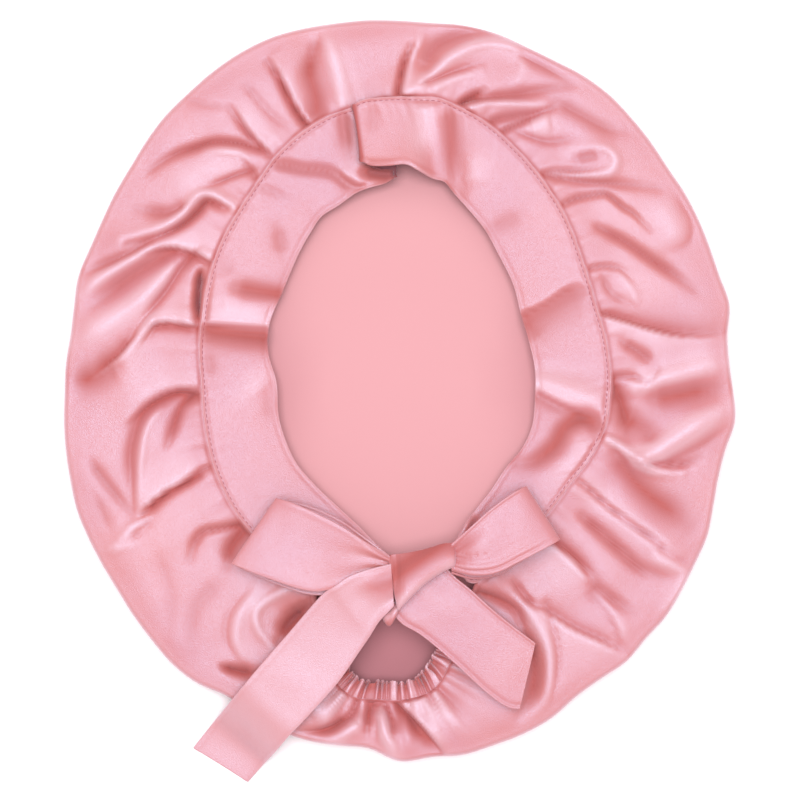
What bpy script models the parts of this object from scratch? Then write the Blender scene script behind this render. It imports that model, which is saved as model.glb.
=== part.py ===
"""A satin sleep bonnet, lying on its crown with the head opening upwards.

The crown is one gathered pouch of cloth. It runs from the flat patch that it lies on, round a
soft rim and up over a folded skirt to the head opening. A wide band is sewn round the front of
the opening, a short ruched casing closes the nape, and the ends of the band are tied in a bow.
X runs to the wearer's side, Y runs from the nape to the forehead and Z is up. Every size in the
tables is in millimetres, and the objects are in metres.
"""

import math
from collections import namedtuple

import bmesh
import bpy
import numpy as np

MM = 0.001

# Cloth.
CROWN_CLOTH = 1.1
BAND_CLOTH = 1.2
CASING_CLOTH = 1.2
TIE_CLOTH = 1.2
CLOTH_GAP = 0.6

# The middle of the head opening, which every angle is measured round.
POLE_X, POLE_Y = 0.0, 5.5

# The pouch. The skirt rises from the seam over SEAM_RISE to a crest at CREST_PLACE of its width.
# The crest stands CREST_RISE above the soft rim where the skirt is WIDE. The rings on the floor
# lie inside the rim, and a share of the band's width covers the skirt's tucked edge.
SEAM_RISE = 12.0
CREST_PLACE = 0.45
CREST_RISE = 5.0
WIDE = 60.0
RIM_HALF_WIDTH = 15.0
RIM_HALF_HEIGHT = 11.0
FLOOR_RINGS = (24.0, 44.0)
TUCK_SHARE = 0.08

# How finely each sheet is divided, and how many columns on each side a column of the crown takes
# its direction from.
CROWN_COLUMNS = 108
FAN = 6
SKIRT_ROWS = (0.07, 0.16, 0.27, 0.39, 0.52, 0.66)
RIM_ANGLES = (72.0, 44.0, 18.0, -12.0, -48.0, -84.0)
SEAM_STEPS = 8
RIM_STEPS = 6
BAND_STEPS = 3
BAND_ROWS = 4
CASING_STEPS = 6
CASING_ROWS = 3
TIE_STEPS = 3
TIE_ROWS = 4
KNOT_STEPS = 2
KNOT_SIDES = 16
PATH_POINTS = 25

# The ruches of the casing: how many, and how far they stand up at the free edge. The loops of
# the bow are bowed up across their width.
RUCHES = 15
RUCHE_HEIGHT = 0.9
LOOP_BOW = 0.8

# The outline of the pouch from above: its radius round the pole, every RIM_STEP degrees.
RIM_STEP = 12.0
RIM_RADII = (
    173.0, 176.0, 177.0, 180.5, 185.0, 190.5, 192.5, 193.0, 194.5, 196.0,
    194.0, 188.5, 181.5, 178.5, 175.0, 175.0, 177.0, 179.5, 180.0, 182.5,
    181.5, 189.5, 186.5, 192.0, 188.0, 182.0, 182.0, 179.5, 175.5, 171.0,
)

# One section across a strip of cloth: its sewn or outer edge, then its free or inner edge.
Section = namedtuple("Section", "seam_x seam_y seam_z free_x free_y free_z")

# The band from its right end in the bow, up the right side and over the forehead to the pleat.
BAND_RIGHT_END = (
    Section(29.4, -83.0, 33.5, 29.1, -72.5, 33.5),
    Section(35.0, -92.0, 30.0, 31.5, -66.5, 30.5),
)
BAND_RIGHT = (
    Section(41.0, -92.5, 28.0, 34.5, -61.5, 29.0),
    Section(52.5, -84.5, 25.5, 37.5, -57.5, 26.0),
    Section(64.5, -72.0, 23.5, 41.0, -53.0, 23.0),
    Section(77.5, -57.0, 22.0, 47.0, -45.5, 21.0),
    Section(89.5, -41.0, 22.0, 55.0, -33.5, 20.0),
    Section(99.0, -28.5, 22.0, 63.0, -24.0, 17.5),
    Section(106.5, -13.5, 21.5, 68.5, -12.0, 19.0),
    Section(109.0, 1.5, 23.0, 70.0, 2.5, 23.0),
    Section(109.5, 16.0, 25.0, 70.0, 17.0, 28.0),
    Section(107.0, 34.5, 23.0, 67.0, 31.5, 21.0),
    Section(102.0, 51.0, 22.0, 62.5, 47.0, 21.0),
    Section(96.5, 70.0, 22.0, 58.5, 62.0, 24.0),
    Section(86.0, 97.5, 22.0, 50.0, 79.0, 25.0),
    Section(70.5, 121.0, 22.0, 44.0, 90.0, 23.0),
    Section(55.0, 137.5, 22.0, 35.0, 101.0, 24.0),
    Section(41.0, 148.5, 22.0, 29.0, 107.5, 27.0),
    Section(29.5, 154.5, 22.0, 23.5, 114.5, 20.5),
    Section(20.0, 158.5, 23.0, 17.0, 116.5, 22.5),
    Section(10.5, 159.0, 24.0, 9.5, 120.5, 28.0),
)
BAND_PLEAT_TOP = (
    Section(0.5, 159.0, 25.6, 3.0, 123.5, 29.5),
    Section(-9.0, 158.5, 26.4, -6.0, 122.5, 31.0),
    Section(-18.5, 157.5, 26.4, -14.0, 122.5, 31.0),
    Section(-23.5, 155.0, 26.4, -19.0, 124.5, 30.0),
)
# The part of the band under the pleat, down the left side to the bow.
BAND_LEFT = (
    Section(-9.0, 158.5, 22.0, -3.0, 117.0, 22.0),
    Section(-18.5, 155.5, 22.0, -8.0, 114.0, 21.0),
    Section(-28.0, 152.5, 22.0, -16.5, 111.5, 22.5),
    Section(-38.5, 148.5, 22.0, -23.5, 108.5, 24.5),
    Section(-51.5, 140.5, 22.0, -32.0, 102.5, 21.0),
    Section(-64.0, 129.0, 22.0, -40.5, 97.0, 22.0),
    Section(-74.5, 114.5, 22.0, -46.0, 89.0, 26.0),
    Section(-85.0, 98.5, 22.0, -51.5, 79.5, 25.0),
    Section(-94.0, 81.5, 23.0, -56.5, 68.5, 23.0),
    Section(-100.5, 60.5, 25.0, -62.0, 55.5, 18.0),
    Section(-103.0, 44.0, 27.0, -67.5, 42.0, 27.0),
    Section(-104.5, 27.5, 22.0, -68.5, 26.5, 17.0),
    Section(-103.5, 11.5, 22.0, -64.0, 10.5, 22.0),
    Section(-102.0, -9.0, 22.0, -62.5, -9.0, 23.0),
    Section(-97.5, -31.0, 22.0, -55.0, -29.0, 23.0),
    Section(-88.0, -53.0, 22.0, -44.5, -42.0, 22.0),
    Section(-75.0, -70.0, 23.0, -32.5, -53.5, 23.0),
    Section(-60.0, -87.0, 25.0, -21.5, -63.5, 26.0),
    Section(-46.0, -98.5, 27.5, -16.0, -69.0, 29.0),
)
BAND_LEFT_END = (
    Section(-28.5, -97.0, 30.0, -11.0, -74.0, 30.5),
    Section(-8.5, -86.0, 31.5, -7.5, -77.5, 31.5),
)
# The layer inside the pleat, from its left turn back to its right turn, and the sections that
# each turn is rounded with.
PLEAT_MIDDLE = (
    Section(-23.5, 155.0, 24.2, -19.0, 124.5, 27.0),
    Section(-9.0, 158.5, 24.2, -3.0, 117.0, 24.4),
)
PLEAT_TURNS = 3

# The elastic casing across the nape, from its left end to its right end.
CASING = (
    Section(-43.5, -109.0, 23.0, -35.0, -106.5, 24.0),
    Section(-40.5, -126.0, 19.5, -32.0, -121.5, 20.5),
    Section(-34.0, -144.5, 16.0, -26.5, -138.0, 17.0),
    Section(-24.5, -153.0, 15.0, -20.0, -144.5, 15.5),
    Section(-12.0, -154.5, 14.5, -11.0, -145.0, 15.0),
    Section(0.5, -155.0, 14.5, 0.0, -146.0, 15.0),
    Section(11.5, -152.5, 15.0, 8.0, -143.5, 16.0),
    Section(20.0, -146.5, 16.0, 14.0, -137.0, 17.0),
    Section(26.5, -134.0, 18.5, 18.0, -130.0, 19.5),
    Section(32.5, -115.5, 21.0, 24.5, -112.0, 22.0),
    Section(35.5, -103.0, 23.0, 27.5, -100.5, 24.0),
)

# A fold of the skirt follows a curve from near the seam outwards. A step leaves the cloth high
# on the left of that curve and low on its right, a swell raises a ridge along it, and negative
# heights turn these over. The widths are those of the fold at the curve's two ends.
Fold = namedtuple("Fold", "x0 y0 bend_x bend_y x1 y1 step swell width0 width1")
FOLDS = (
    Fold(104, 44, 124, 36, 169, 32, -3.0, 0.0, 4.0, 5.0),
    Fold(83, 102, 104, 124, 130, 89, -3.0, 0.0, 4.0, 4.5),
    Fold(105, 92, 127, 84, 151, 61, 0.0, -2.5, 4.0, 5.0),
    Fold(73, 119, 92, 116, 109, 122, 0.0, 2.5, 4.0, 4.0),
    Fold(83, 116, 96, 113, 141, 112, 0.0, -2.0, 4.0, 4.0),
    Fold(53, 140, 67, 148, 84, 154, -3.0, 0.0, 4.0, 4.0),
    Fold(31, 155, 27, 163, 104, 165, 0.0, -3.0, 4.0, 5.0),
    Fold(5, 164, 16, 174, 47, 181, 0.0, -2.5, 4.0, 4.0),
    Fold(0, 160, 1, 172, 10, 191, 0.0, -4.0, 4.0, 4.0),
    Fold(-28, 160, -34, 177, -43, 195, 0.0, 2.5, 5.0, 4.0),
    Fold(-44, 147, -42, 160, -48, 183, 0.0, -3.5, 5.0, 6.0),
    Fold(-46, 145, -51, 154, -69, 181, -3.0, 0.0, 4.0, 4.0),
    Fold(-66, 132, -77, 145, -91, 156, -2.5, 0.0, 4.0, 5.0),
    Fold(-72, 131, -91, 144, -130, 123, 0.0, -2.5, 4.0, 5.0),
    Fold(-85, 99, -106, 119, -145, 83, -4.0, 0.0, 4.0, 5.0),
    Fold(-96, 75, -121, 94, -164, 66, -4.0, 0.0, 4.0, 5.0),
    Fold(-109, 73, -127, 61, -157, 50, 0.0, -3.0, 4.0, 6.0),
    Fold(-104, 41, -129, 55, -157, 16, -3.5, 0.0, 4.0, 6.0),
    Fold(-104, 7, -162, -5, -137, -53, -3.5, 0.0, 4.0, 5.0),
    Fold(-97, -33, -115, -41, -136, -57, -3.5, 0.0, 4.0, 4.0),
    Fold(-137, -57, -151, -57, -160, -31, 0.0, -2.5, 4.0, 5.0),
    Fold(-81, -63, -112, -63, -109, -79, -2.5, 0.0, 4.0, 4.0),
    Fold(-90, -102, -101, -118, -83, -135, 0.0, -2.0, 4.0, 4.0),
    Fold(-52, -103, -61, -112, -60, -120, 0.0, -3.5, 4.5, 5.0),
    Fold(-26, -158, -32, -170, -50, -172, 0.0, -2.0, 4.0, 4.0),
    Fold(-14, -157, -16, -164, -18, -172, 0.0, -2.5, 4.0, 4.0),
    Fold(-8, -158, -7, -171, -2, -182, 0.0, 2.5, 4.0, 4.0),
    Fold(1, -156, 6, -163, 25, -182, 3.0, 0.0, 4.0, 4.0),
    Fold(54, -87, 53, -102, 116, -131, -2.0, 0.0, 4.0, 4.0),
    Fold(78, -73, 104, -86, 118, -129, -2.5, 0.0, 4.0, 4.0),
    Fold(95, -58, 103, -70, 133, -91, 0.0, -3.0, 4.0, 4.5),
    Fold(92, -38, 100, -49, 150, -83, 0.0, 2.5, 4.0, 4.0),
    Fold(110, -27, 125, -46, 151, -63, 0.0, -4.0, 6.0, 7.0),
    Fold(107, -16, 118, -34, 161, -35, 0.0, 3.0, 4.0, 4.0),
    Fold(112, 6, 108, -17, 130, -20, 0.0, -4.0, 5.0, 6.0),
    Fold(135, -25, 152, -12, 174, 1, 0.0, 3.0, 6.0, 6.0),
    Fold(131, 5, 149, 7, 174, 11, 0.0, -3.5, 6.0, 7.0),
    Fold(133, 16, 150, 27, 171, 28, 0.0, 2.5, 6.0, 6.0),
)
# Folds die away within these distances of the seam and of the rim.
FOLD_FADE_SEAM = 7.0
FOLD_FADE_RIM = 12.0

# Each loop of the bow goes out over its top layer, turns over and comes back underneath. The
# seam edge is the one towards the forehead.
LOOP_LEFT = (
    Section(-7.0, -79.5, 37.5, -6.2, -84.0, 37.5),
    Section(-17.5, -71.5, 40.5, -19.5, -86.0, 40.5),
    Section(-31.0, -61.5, 42.0, -34.5, -93.5, 42.0),
    Section(-46.5, -54.0, 41.0, -52.0, -95.5, 41.0),
    Section(-59.0, -50.5, 38.0, -71.5, -88.5, 38.0),
    Section(-64.0, -49.0, 35.0, -86.5, -83.0, 35.0),
    Section(-59.0, -50.5, 32.2, -71.5, -88.5, 32.2),
    Section(-46.5, -54.0, 32.8, -52.0, -95.5, 33.4),
    Section(-31.0, -61.5, 33.8, -34.5, -93.5, 34.4),
    Section(-17.5, -71.5, 34.8, -19.5, -86.0, 34.8),
    Section(-7.0, -79.5, 35.2, -6.2, -84.0, 35.2),
)
LOOP_RIGHT = (
    Section(29.6, -74.5, 37.5, 29.6, -83.5, 37.5),
    Section(36.5, -65.0, 41.0, 37.5, -87.5, 41.0),
    Section(47.0, -54.5, 42.5, 50.5, -86.0, 42.5),
    Section(56.5, -46.5, 41.0, 62.5, -80.5, 41.0),
    Section(65.0, -42.5, 34.8, 81.5, -71.5, 34.8),
    Section(56.5, -47.5, 31.8, 63.5, -81.5, 31.8),
    Section(47.0, -55.5, 33.0, 51.0, -87.5, 33.0),
    Section(36.5, -66.0, 34.5, 38.0, -89.0, 34.5),
    Section(29.6, -75.5, 35.2, 29.6, -84.5, 35.2),
)
TAIL_LEFT = (
    Section(-6.6, -87.0, 35.0, -6.2, -105.0, 35.5),
    Section(-25.5, -88.5, 32.6, -11.0, -112.5, 33.5),
    Section(-41.0, -99.5, 31.5, -20.0, -126.5, 31.5),
    Section(-57.0, -118.0, 30.2, -32.5, -145.0, 30.5),
    Section(-73.5, -137.0, 29.0, -49.0, -163.5, 28.5),
    Section(-84.0, -149.5, 26.0, -59.5, -174.5, 25.0),
    Section(-92.0, -160.0, 18.0, -67.5, -184.5, 17.0),
    Section(-100.5, -171.0, 7.5, -73.5, -192.5, 7.0),
    Section(-109.0, -181.5, 1.2, -80.0, -199.5, 1.2),
)
TAIL_RIGHT = (
    Section(22.5, -83.0, 31.7, -5.0, -107.0, 31.7),
    Section(29.0, -90.0, 31.6, 1.0, -114.0, 31.6),
    Section(37.0, -96.5, 32.0, 11.0, -120.0, 31.0),
    Section(48.0, -106.5, 32.0, 25.5, -132.0, 30.5),
    Section(59.0, -115.5, 31.0, 45.0, -150.0, 29.5),
    Section(70.0, -124.0, 30.0, 62.0, -159.0, 28.5),
)

# The knot, in slices across the band: place along X, its two sides in Y, its bottom and top.
Slice = namedtuple("Slice", "x front back low high")
KNOT = (
    Slice(28.5, -73.5, -82.0, 32.5, 40.5),
    Slice(26.5, -72.5, -84.0, 32.5, 42.5),
    Slice(22.0, -72.5, -87.0, 32.5, 44.5),
    Slice(13.0, -75.5, -94.0, 32.5, 46.0),
    Slice(4.5, -76.5, -103.0, 32.5, 46.0),
    Slice(-1.0, -77.0, -109.0, 33.0, 44.5),
    Slice(-4.0, -78.5, -111.0, 34.0, 42.0),
    Slice(-5.5, -81.5, -107.0, 36.0, 39.5),
)

SATIN = (0.80, 0.42, 0.45)
SATIN_INSIDE = (0.86, 0.46, 0.50)
SATIN_ROUGHNESS = 0.42


def clear_scene():
    """Removes every object that the scene starts with."""
    for thing in list(bpy.data.objects):
        bpy.data.objects.remove(thing, do_unlink=True)


def satin(name, colour):
    """A plain Principled material in the cloth's colour."""
    material = bpy.data.materials.new(name)
    material.use_nodes = True
    shader = material.node_tree.nodes["Principled BSDF"]
    shader.inputs["Base Color"].default_value = (*colour, 1.0)
    shader.inputs["Roughness"].default_value = SATIN_ROUGHNESS
    shader.inputs["Metallic"].default_value = 0.0
    return material


def smooth_rows(rows, steps, closed=False):
    """Rows of numbers with `steps` rows for each given one, on a Catmull-Rom curve."""
    given = np.array(rows, float)
    count = len(given)
    spans = count if closed else count - 1
    found = []
    for span in range(spans):
        places = [span - 1, span, span + 1, span + 2]
        if closed:
            p0, p1, p2, p3 = (given[place % count] for place in places)
        else:
            p0, p1, p2, p3 = (given[min(max(place, 0), count - 1)] for place in places)
        for step in range(steps):
            t = step / steps
            found.append(
                0.5 * (2 * p1 + (p2 - p0) * t + (2 * p0 - 5 * p1 + 4 * p2 - p3) * t ** 2
                       + (3 * p1 - p0 - 3 * p2 + p3) * t ** 3)
            )
    if not closed:
        found.append(given[-1])
    return np.array(found)


def smoothstep(value):
    """0 below 0, 1 above 1 and an S-shaped ramp between them."""
    value = np.clip(value, 0.0, 1.0)
    return value * value * (3.0 - 2.0 * value)


def cloth_sheet(name, points, thickness, material, closed=False):
    """An object of one sheet: a grid laid on `points`, which are rows of columns, in mm.

    A closed sheet joins its last column to its first, and its lowest row is filled with a face.
    """
    rows, columns = points.shape[:2]
    if closed:
        points = np.concatenate([points, points[:, :1]], axis=1)
        columns += 1
    sheet = bmesh.new()
    bmesh.ops.create_grid(sheet, x_segments=columns - 1, y_segments=rows - 1, size=1.0)
    sheet.verts.ensure_lookup_table()
    order = sorted(sheet.verts, key=lambda vert: (round(vert.co.y, 5), round(vert.co.x, 5)))
    for vert, place in zip(order, points.reshape(-1, 3)):
        vert.co = place * MM
    if closed:
        bmesh.ops.remove_doubles(sheet, verts=sheet.verts, dist=1e-6)
        floor = points[-1, :, 2].max() * MM + 1e-5
        open_edges = [edge for edge in sheet.edges if edge.is_boundary]
        ring = [edge for edge in open_edges if max(vert.co.z for vert in edge.verts) < floor]
        bmesh.ops.contextual_create(sheet, geom=ring)
        bmesh.ops.recalc_face_normals(sheet, faces=sheet.faces)
    mesh = bpy.data.meshes.new(name)
    sheet.to_mesh(mesh)
    sheet.free()
    return dressed(name, mesh, material, thickness)


def dressed(name, mesh, material, thickness):
    """The object of a mesh, smooth, with its material and, for a sheet, its thickness."""
    mesh.shade_smooth()
    mesh.materials.append(material)
    thing = bpy.data.objects.new(name, mesh)
    if thickness:
        wall = thing.modifiers.new("cloth thickness", "SOLIDIFY")
        wall.thickness = thickness * MM
        wall.offset = 0.0
        wall.use_even_offset = True
    return thing


def strip_points(sections, rows, bow=0.0):
    """Points of a strip between its two edges, whose middle stands up by `bow` as a parabola."""
    across = np.linspace(0.0, 1.0, rows)[:, None, None]
    points = sections[None, :, :3] * (1 - across) + sections[None, :, 3:] * across
    points[..., 2] += bow * 4 * (across * (1 - across))[..., 0]
    return points


def band_rows(steps):
    """The band's sections on its smooth curves: those to the right of the fold, then the left."""
    right = smooth_rows(BAND_RIGHT_END + BAND_RIGHT + BAND_PLEAT_TOP, steps)
    left = smooth_rows(BAND_LEFT + BAND_LEFT_END, steps)
    return right, left


def seam_curve():
    """The closed line that the skirt is gathered to, as sections of the cloth that is sewn on
    along it: the band round the front and the casing across the nape."""
    right, left = band_rows(SEAM_STEPS)
    start = SEAM_STEPS * len(BAND_RIGHT_END)
    right = right[start:start + SEAM_STEPS * (len(BAND_RIGHT) - 1) + 1]
    left = left[:SEAM_STEPS * (len(BAND_LEFT) - 1) + 1]
    return np.concatenate([right, left, smooth_rows(CASING, SEAM_STEPS)])


def columns_on_seam():
    """CROWN_COLUMNS sections at equal steps along the seam."""
    curve = seam_curve()
    steps = np.linalg.norm(np.roll(curve, -1, axis=0)[:, :2] - curve[:, :2], axis=1)
    places = np.concatenate([[0.0], np.cumsum(steps)])
    wanted = np.linspace(0.0, places[-1], CROWN_COLUMNS, endpoint=False)
    looped = np.concatenate([curve, curve[:1]])
    return np.stack([np.interp(wanted, places, looped[:, k]) for k in range(6)], axis=1)


def nearest_on(points, curve):
    """For each point the distance in plan to a closed curve, and the curve's Z there."""
    ends = np.roll(curve, -1, axis=0)
    run = ends[:, :2] - curve[:, :2]
    length = np.maximum((run ** 2).sum(axis=1), 1e-9)
    from_start = points[:, None, :2] - curve[None, :, :2]
    share = np.clip((from_start * run).sum(axis=2) / length, 0.0, 1.0)
    away = np.linalg.norm(from_start - run * share[..., None], axis=2)
    best = np.argmin(away, axis=1)
    pick = np.arange(len(points))
    rise = curve[best, 2] + (ends[best, 2] - curve[best, 2]) * share[pick, best]
    return away[pick, best], rise


def rim_radius(angles):
    """The outline's radius at these angles, in degrees."""
    table = smooth_rows([[radius] for radius in RIM_RADII], RIM_STEPS, closed=True)[:, 0]
    at = np.arange(len(table)) * (RIM_STEP / RIM_STEPS)
    return np.interp(angles % 360.0, np.append(at, 360.0), np.append(table, table[0]))


def fold_height(x, y):
    """How far the folds raise or lower the skirt at these points."""
    height = np.zeros_like(x)
    t = np.linspace(0.0, 1.0, PATH_POINTS)[:, None]
    for fold in FOLDS:
        start = np.array([fold.x0, fold.y0])
        bend = np.array([fold.bend_x, fold.bend_y])
        end = np.array([fold.x1, fold.y1])
        path = start * (1 - t) ** 2 + bend * 2 * t * (1 - t) + end * t ** 2
        run = np.gradient(path, axis=0)
        run /= np.linalg.norm(run, axis=1)[:, None]
        away_x = x[..., None] - path[:, 0]
        away_y = y[..., None] - path[:, 1]
        near = np.argmin(away_x ** 2 + away_y ** 2, axis=-1)[..., None]
        away_x = np.take_along_axis(away_x, near, -1)[..., 0]
        away_y = np.take_along_axis(away_y, near, -1)[..., 0]
        near = near[..., 0]
        left = run[near, 0] * away_y - run[near, 1] * away_x
        along = run[near, 0] * away_x + run[near, 1] * away_y
        width = fold.width0 + (fold.width1 - fold.width0) * near / (PATH_POINTS - 1)
        left = left / width
        fade = np.exp(-0.5 * (along / width) ** 2)
        step = left * np.exp(0.5 - 0.5 * left ** 2)
        swell = np.exp(-0.5 * left ** 2)
        height += fade * (fold.step * step + fold.swell * swell)
    return height


def crown_points():
    """The crown's rows of points, from under the band out to the rim and down to the floor."""
    sections = columns_on_seam()
    seam, free = sections[:, :3], sections[:, 3:]
    outward = np.radians(spread_angles(seam))
    pole = np.array([POLE_X, POLE_Y])
    reach = rim_radius(np.degrees(outward))[:, None]
    heading = np.stack([np.cos(outward), np.sin(outward)], axis=1)
    rim = pole + heading * reach
    width = np.linalg.norm(rim - seam[:, :2], axis=1)[:, None]
    out = (rim - seam[:, :2]) / width

    drop = np.array([0.0, 0.0, (BAND_CLOTH + CROWN_CLOTH) / 2 + CLOTH_GAP])
    rows = [seam + (free - seam) * TUCK_SHARE - drop, seam - drop]
    curve, rim_curve = seam_curve(), np.column_stack([rim, np.zeros(len(rim))])
    for share in SKIRT_ROWS:
        xy = seam[:, :2] + out * width * share
        rows.append(np.column_stack([xy, skirt_height(xy, curve, rim_curve, drop[2])]))
    for degrees in RIM_ANGLES:
        turn = math.radians(degrees)
        back = RIM_HALF_WIDTH * (1 - math.cos(turn))
        lift = RIM_HALF_HEIGHT * (1 + math.sin(turn)) + CROWN_CLOTH / 2
        rows.append(np.column_stack([rim - out * back, np.full(CROWN_COLUMNS, lift)]))
    for inset in FLOOR_RINGS:
        xy = pole + heading * (reach - inset)
        rows.append(np.column_stack([xy, np.full(CROWN_COLUMNS, CROWN_CLOTH / 2)]))
    return np.array(rows)


def spread_angles(seam):
    """The angle of the rim point that each column runs out to: that of its own seam point,
    evened out so that the columns fan smoothly round the nape."""
    angle = np.degrees(np.arctan2(seam[:, 1] - POLE_Y, seam[:, 0] - POLE_X))
    even = np.linspace(0.0, 360.0, CROWN_COLUMNS, endpoint=False)
    lead = np.unwrap(angle, period=360.0) - even
    lead = np.mean([np.roll(lead, shift) for shift in range(-FAN, FAN + 1)], axis=0)
    return even + lead


def skirt_height(xy, curve, rim_curve, drop):
    """The skirt's height: up from the seam to the crest and down to the rim, with its folds."""
    away, start = nearest_on(xy, curve)
    from_rim = nearest_on(xy, rim_curve)[0]
    width = away + from_rim
    inside = np.clip(1 - from_rim / RIM_HALF_WIDTH, 0.0, 1.0)
    rim_top = RIM_HALF_HEIGHT * (1 + np.sqrt(1 - inside ** 2)) + CROWN_CLOTH / 2
    crest = smoothstep(from_rim / width / (1 - CREST_PLACE)) * np.minimum(width / WIDE, 1.0)
    top = rim_top + CREST_RISE * crest
    height = start - drop + (top - start + drop) * smoothstep(away / SEAM_RISE)
    fade = smoothstep(away / FOLD_FADE_SEAM) * smoothstep(from_rim / FOLD_FADE_RIM)
    return height + fold_height(xy[:, 0], xy[:, 1]) * fade


def half_turn(above, below, side):
    """The rounded edge between two layers, bulging towards +X or -X."""
    found = []
    for step in range(1, PLEAT_TURNS + 1):
        turn = math.pi * step / (PLEAT_TURNS + 1)
        place = (above + below) / 2 + (above - below) / 2 * math.cos(turn)
        place[[0, 3]] += side * np.abs(above - below)[[2, 5]] / 2 * math.sin(turn)
        found.append(place)
    return found


def make_band(material):
    """The band, one strip from end to end, folded over itself at the forehead."""
    right, left = band_rows(BAND_STEPS)
    middle = np.linspace(*np.array(PLEAT_MIDDLE, float), 3)
    upper_turn = half_turn(right[-1], middle[0], -1.0)
    lower_turn = half_turn(middle[-1], left[0], 1.0)
    sections = np.concatenate([right, upper_turn, middle, lower_turn, left])
    return cloth_sheet("band", strip_points(sections, BAND_ROWS), BAND_CLOTH, material)


def make_casing(material):
    """The elastic casing, drawn up in small ruches that grow towards its free edge."""
    sections = smooth_rows(CASING, CASING_STEPS)
    points = strip_points(sections, CASING_ROWS)
    along = np.linspace(0.0, RUCHES * math.tau, points.shape[1])
    across = np.linspace(0.0, 1.0, CASING_ROWS)[:, None]
    points[..., 2] += RUCHE_HEIGHT * across * np.sin(along)
    return cloth_sheet("nape_casing", points, CASING_CLOTH, material)


def make_tie(name, sections, bow, material):
    """A loop or a tail of the bow."""
    points = strip_points(smooth_rows(sections, TIE_STEPS), TIE_ROWS, bow)
    return cloth_sheet(name, points, TIE_CLOTH, material)


def make_knot(material):
    """The knot: a soft pillow of wrapped cloth, lofted through its slices."""
    rows = smooth_rows(KNOT, KNOT_STEPS)
    body = bmesh.new()
    rings = []
    for x, front, back, low, high in rows:
        made = bmesh.ops.create_circle(body, segments=KNOT_SIDES, radius=1.0)
        for vert in made["verts"]:
            side, up = vert.co.x, vert.co.y
            y = (front + back) / 2 + side * (front - back) / 2
            z = (low + high) / 2 + up * (high - low) / 2
            vert.co = (x * MM, y * MM, z * MM)
        rings.append([edge for vert in made["verts"] for edge in vert.link_edges])
    for first, second in zip(rings, rings[1:]):
        bmesh.ops.bridge_loops(body, edges=list(set(first + second)))
    for ring in (rings[0], rings[-1]):
        bmesh.ops.contextual_create(body, geom=list(set(ring)))
    bmesh.ops.recalc_face_normals(body, faces=body.faces)
    mesh = bpy.data.meshes.new("bow_knot")
    body.to_mesh(mesh)
    body.free()
    return dressed("bow_knot", mesh, material, 0.0)


def main():
    """Builds the bonnet in a collection of its own."""
    clear_scene()
    bonnet = bpy.data.collections.new("sleep_bonnet")
    bpy.context.scene.collection.children.link(bonnet)
    crown = cloth_sheet("crown", crown_points(), CROWN_CLOTH,
                        satin("crown satin", SATIN_INSIDE), closed=True)
    things = [
        crown,
        make_casing(satin("casing satin", SATIN)),
        make_band(satin("band satin", SATIN)),
        make_tie("bow_loop_left", LOOP_LEFT, LOOP_BOW, satin("left loop satin", SATIN)),
        make_tie("bow_loop_right", LOOP_RIGHT, LOOP_BOW, satin("right loop satin", SATIN)),
        make_tie("bow_tail_left", TAIL_LEFT, 0.0, satin("left tail satin", SATIN)),
        make_tie("bow_tail_right", TAIL_RIGHT, 0.0, satin("right tail satin", SATIN)),
        make_knot(satin("knot satin", SATIN)),
    ]
    for thing in things:
        bonnet.objects.link(thing)


main()
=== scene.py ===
"""A pink satin sleep bonnet, dressed and lit as it lies on a pale table, seen from above.

The crown is a gathered pouch of satin with its head opening upwards. A wide band is stitched
round the opening and tied in a bow, and a ruched elastic casing closes the nape. Sizes are in
millimetres until a mesh is made, with X to the right, Y from the nape to the forehead and Z up.
"""

import logging
import math
from dataclasses import dataclass
from enum import Enum
from typing import NamedTuple, Sequence

import bmesh
import bpy
import numpy as np
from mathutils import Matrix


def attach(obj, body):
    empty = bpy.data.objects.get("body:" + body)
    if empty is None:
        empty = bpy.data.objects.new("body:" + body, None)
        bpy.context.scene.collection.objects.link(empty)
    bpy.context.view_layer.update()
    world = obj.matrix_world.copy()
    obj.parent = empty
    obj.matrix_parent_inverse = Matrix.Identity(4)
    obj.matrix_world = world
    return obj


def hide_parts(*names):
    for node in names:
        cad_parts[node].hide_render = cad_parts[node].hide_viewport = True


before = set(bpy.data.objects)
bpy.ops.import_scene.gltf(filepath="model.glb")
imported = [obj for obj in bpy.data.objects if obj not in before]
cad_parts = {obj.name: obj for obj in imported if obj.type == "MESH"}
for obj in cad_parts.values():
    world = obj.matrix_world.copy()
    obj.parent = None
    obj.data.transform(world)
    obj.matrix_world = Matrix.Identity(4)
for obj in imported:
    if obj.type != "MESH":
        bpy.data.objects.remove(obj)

MM = 0.001
# The mesh attribute of fold height and painted marks, from which the materials paint highlight and
# shade.
FOLD_AND_PAINTED_LIGHT = "fold_and_painted_light"
CLOTH_UV = "cloth"
LOG = logging.getLogger("bonnet")

Rows = np.ndarray
Colour = tuple[float, float, float, float]


class Held(Enum):
    """How a sheet of cloth is held."""

    GATHERED = "gathered"
    FOLDED = "folded"
    DRAPED = "draped"


class Section(NamedTuple):
    """One section across a strip: its sewn or outer edge, then its free or inner edge."""

    seam_x: float
    seam_y: float
    seam_z: float
    free_x: float
    free_y: float
    free_z: float


class Fold(NamedTuple):
    """A fold of the cloth along a smooth line, which mostly starts at a seam.

    The crest is the fold's height on its line, and is negative for a valley. A hollow beside
    the line makes a pleat of it: a positive depth lies left of the line and a negative one
    right of it. The widths are those at the line's two ends.
    """

    line: tuple[tuple[float, float], ...]
    crest: float
    hollow: float
    narrow: float
    wide: float


class Slice(NamedTuple):
    """A slice of the knot across the band: place along X, sides in Y, bottom and top."""

    x: float
    front: float
    back: float
    low: float
    high: float


# ---------------------------------------------------------------- numbers along curves


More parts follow.
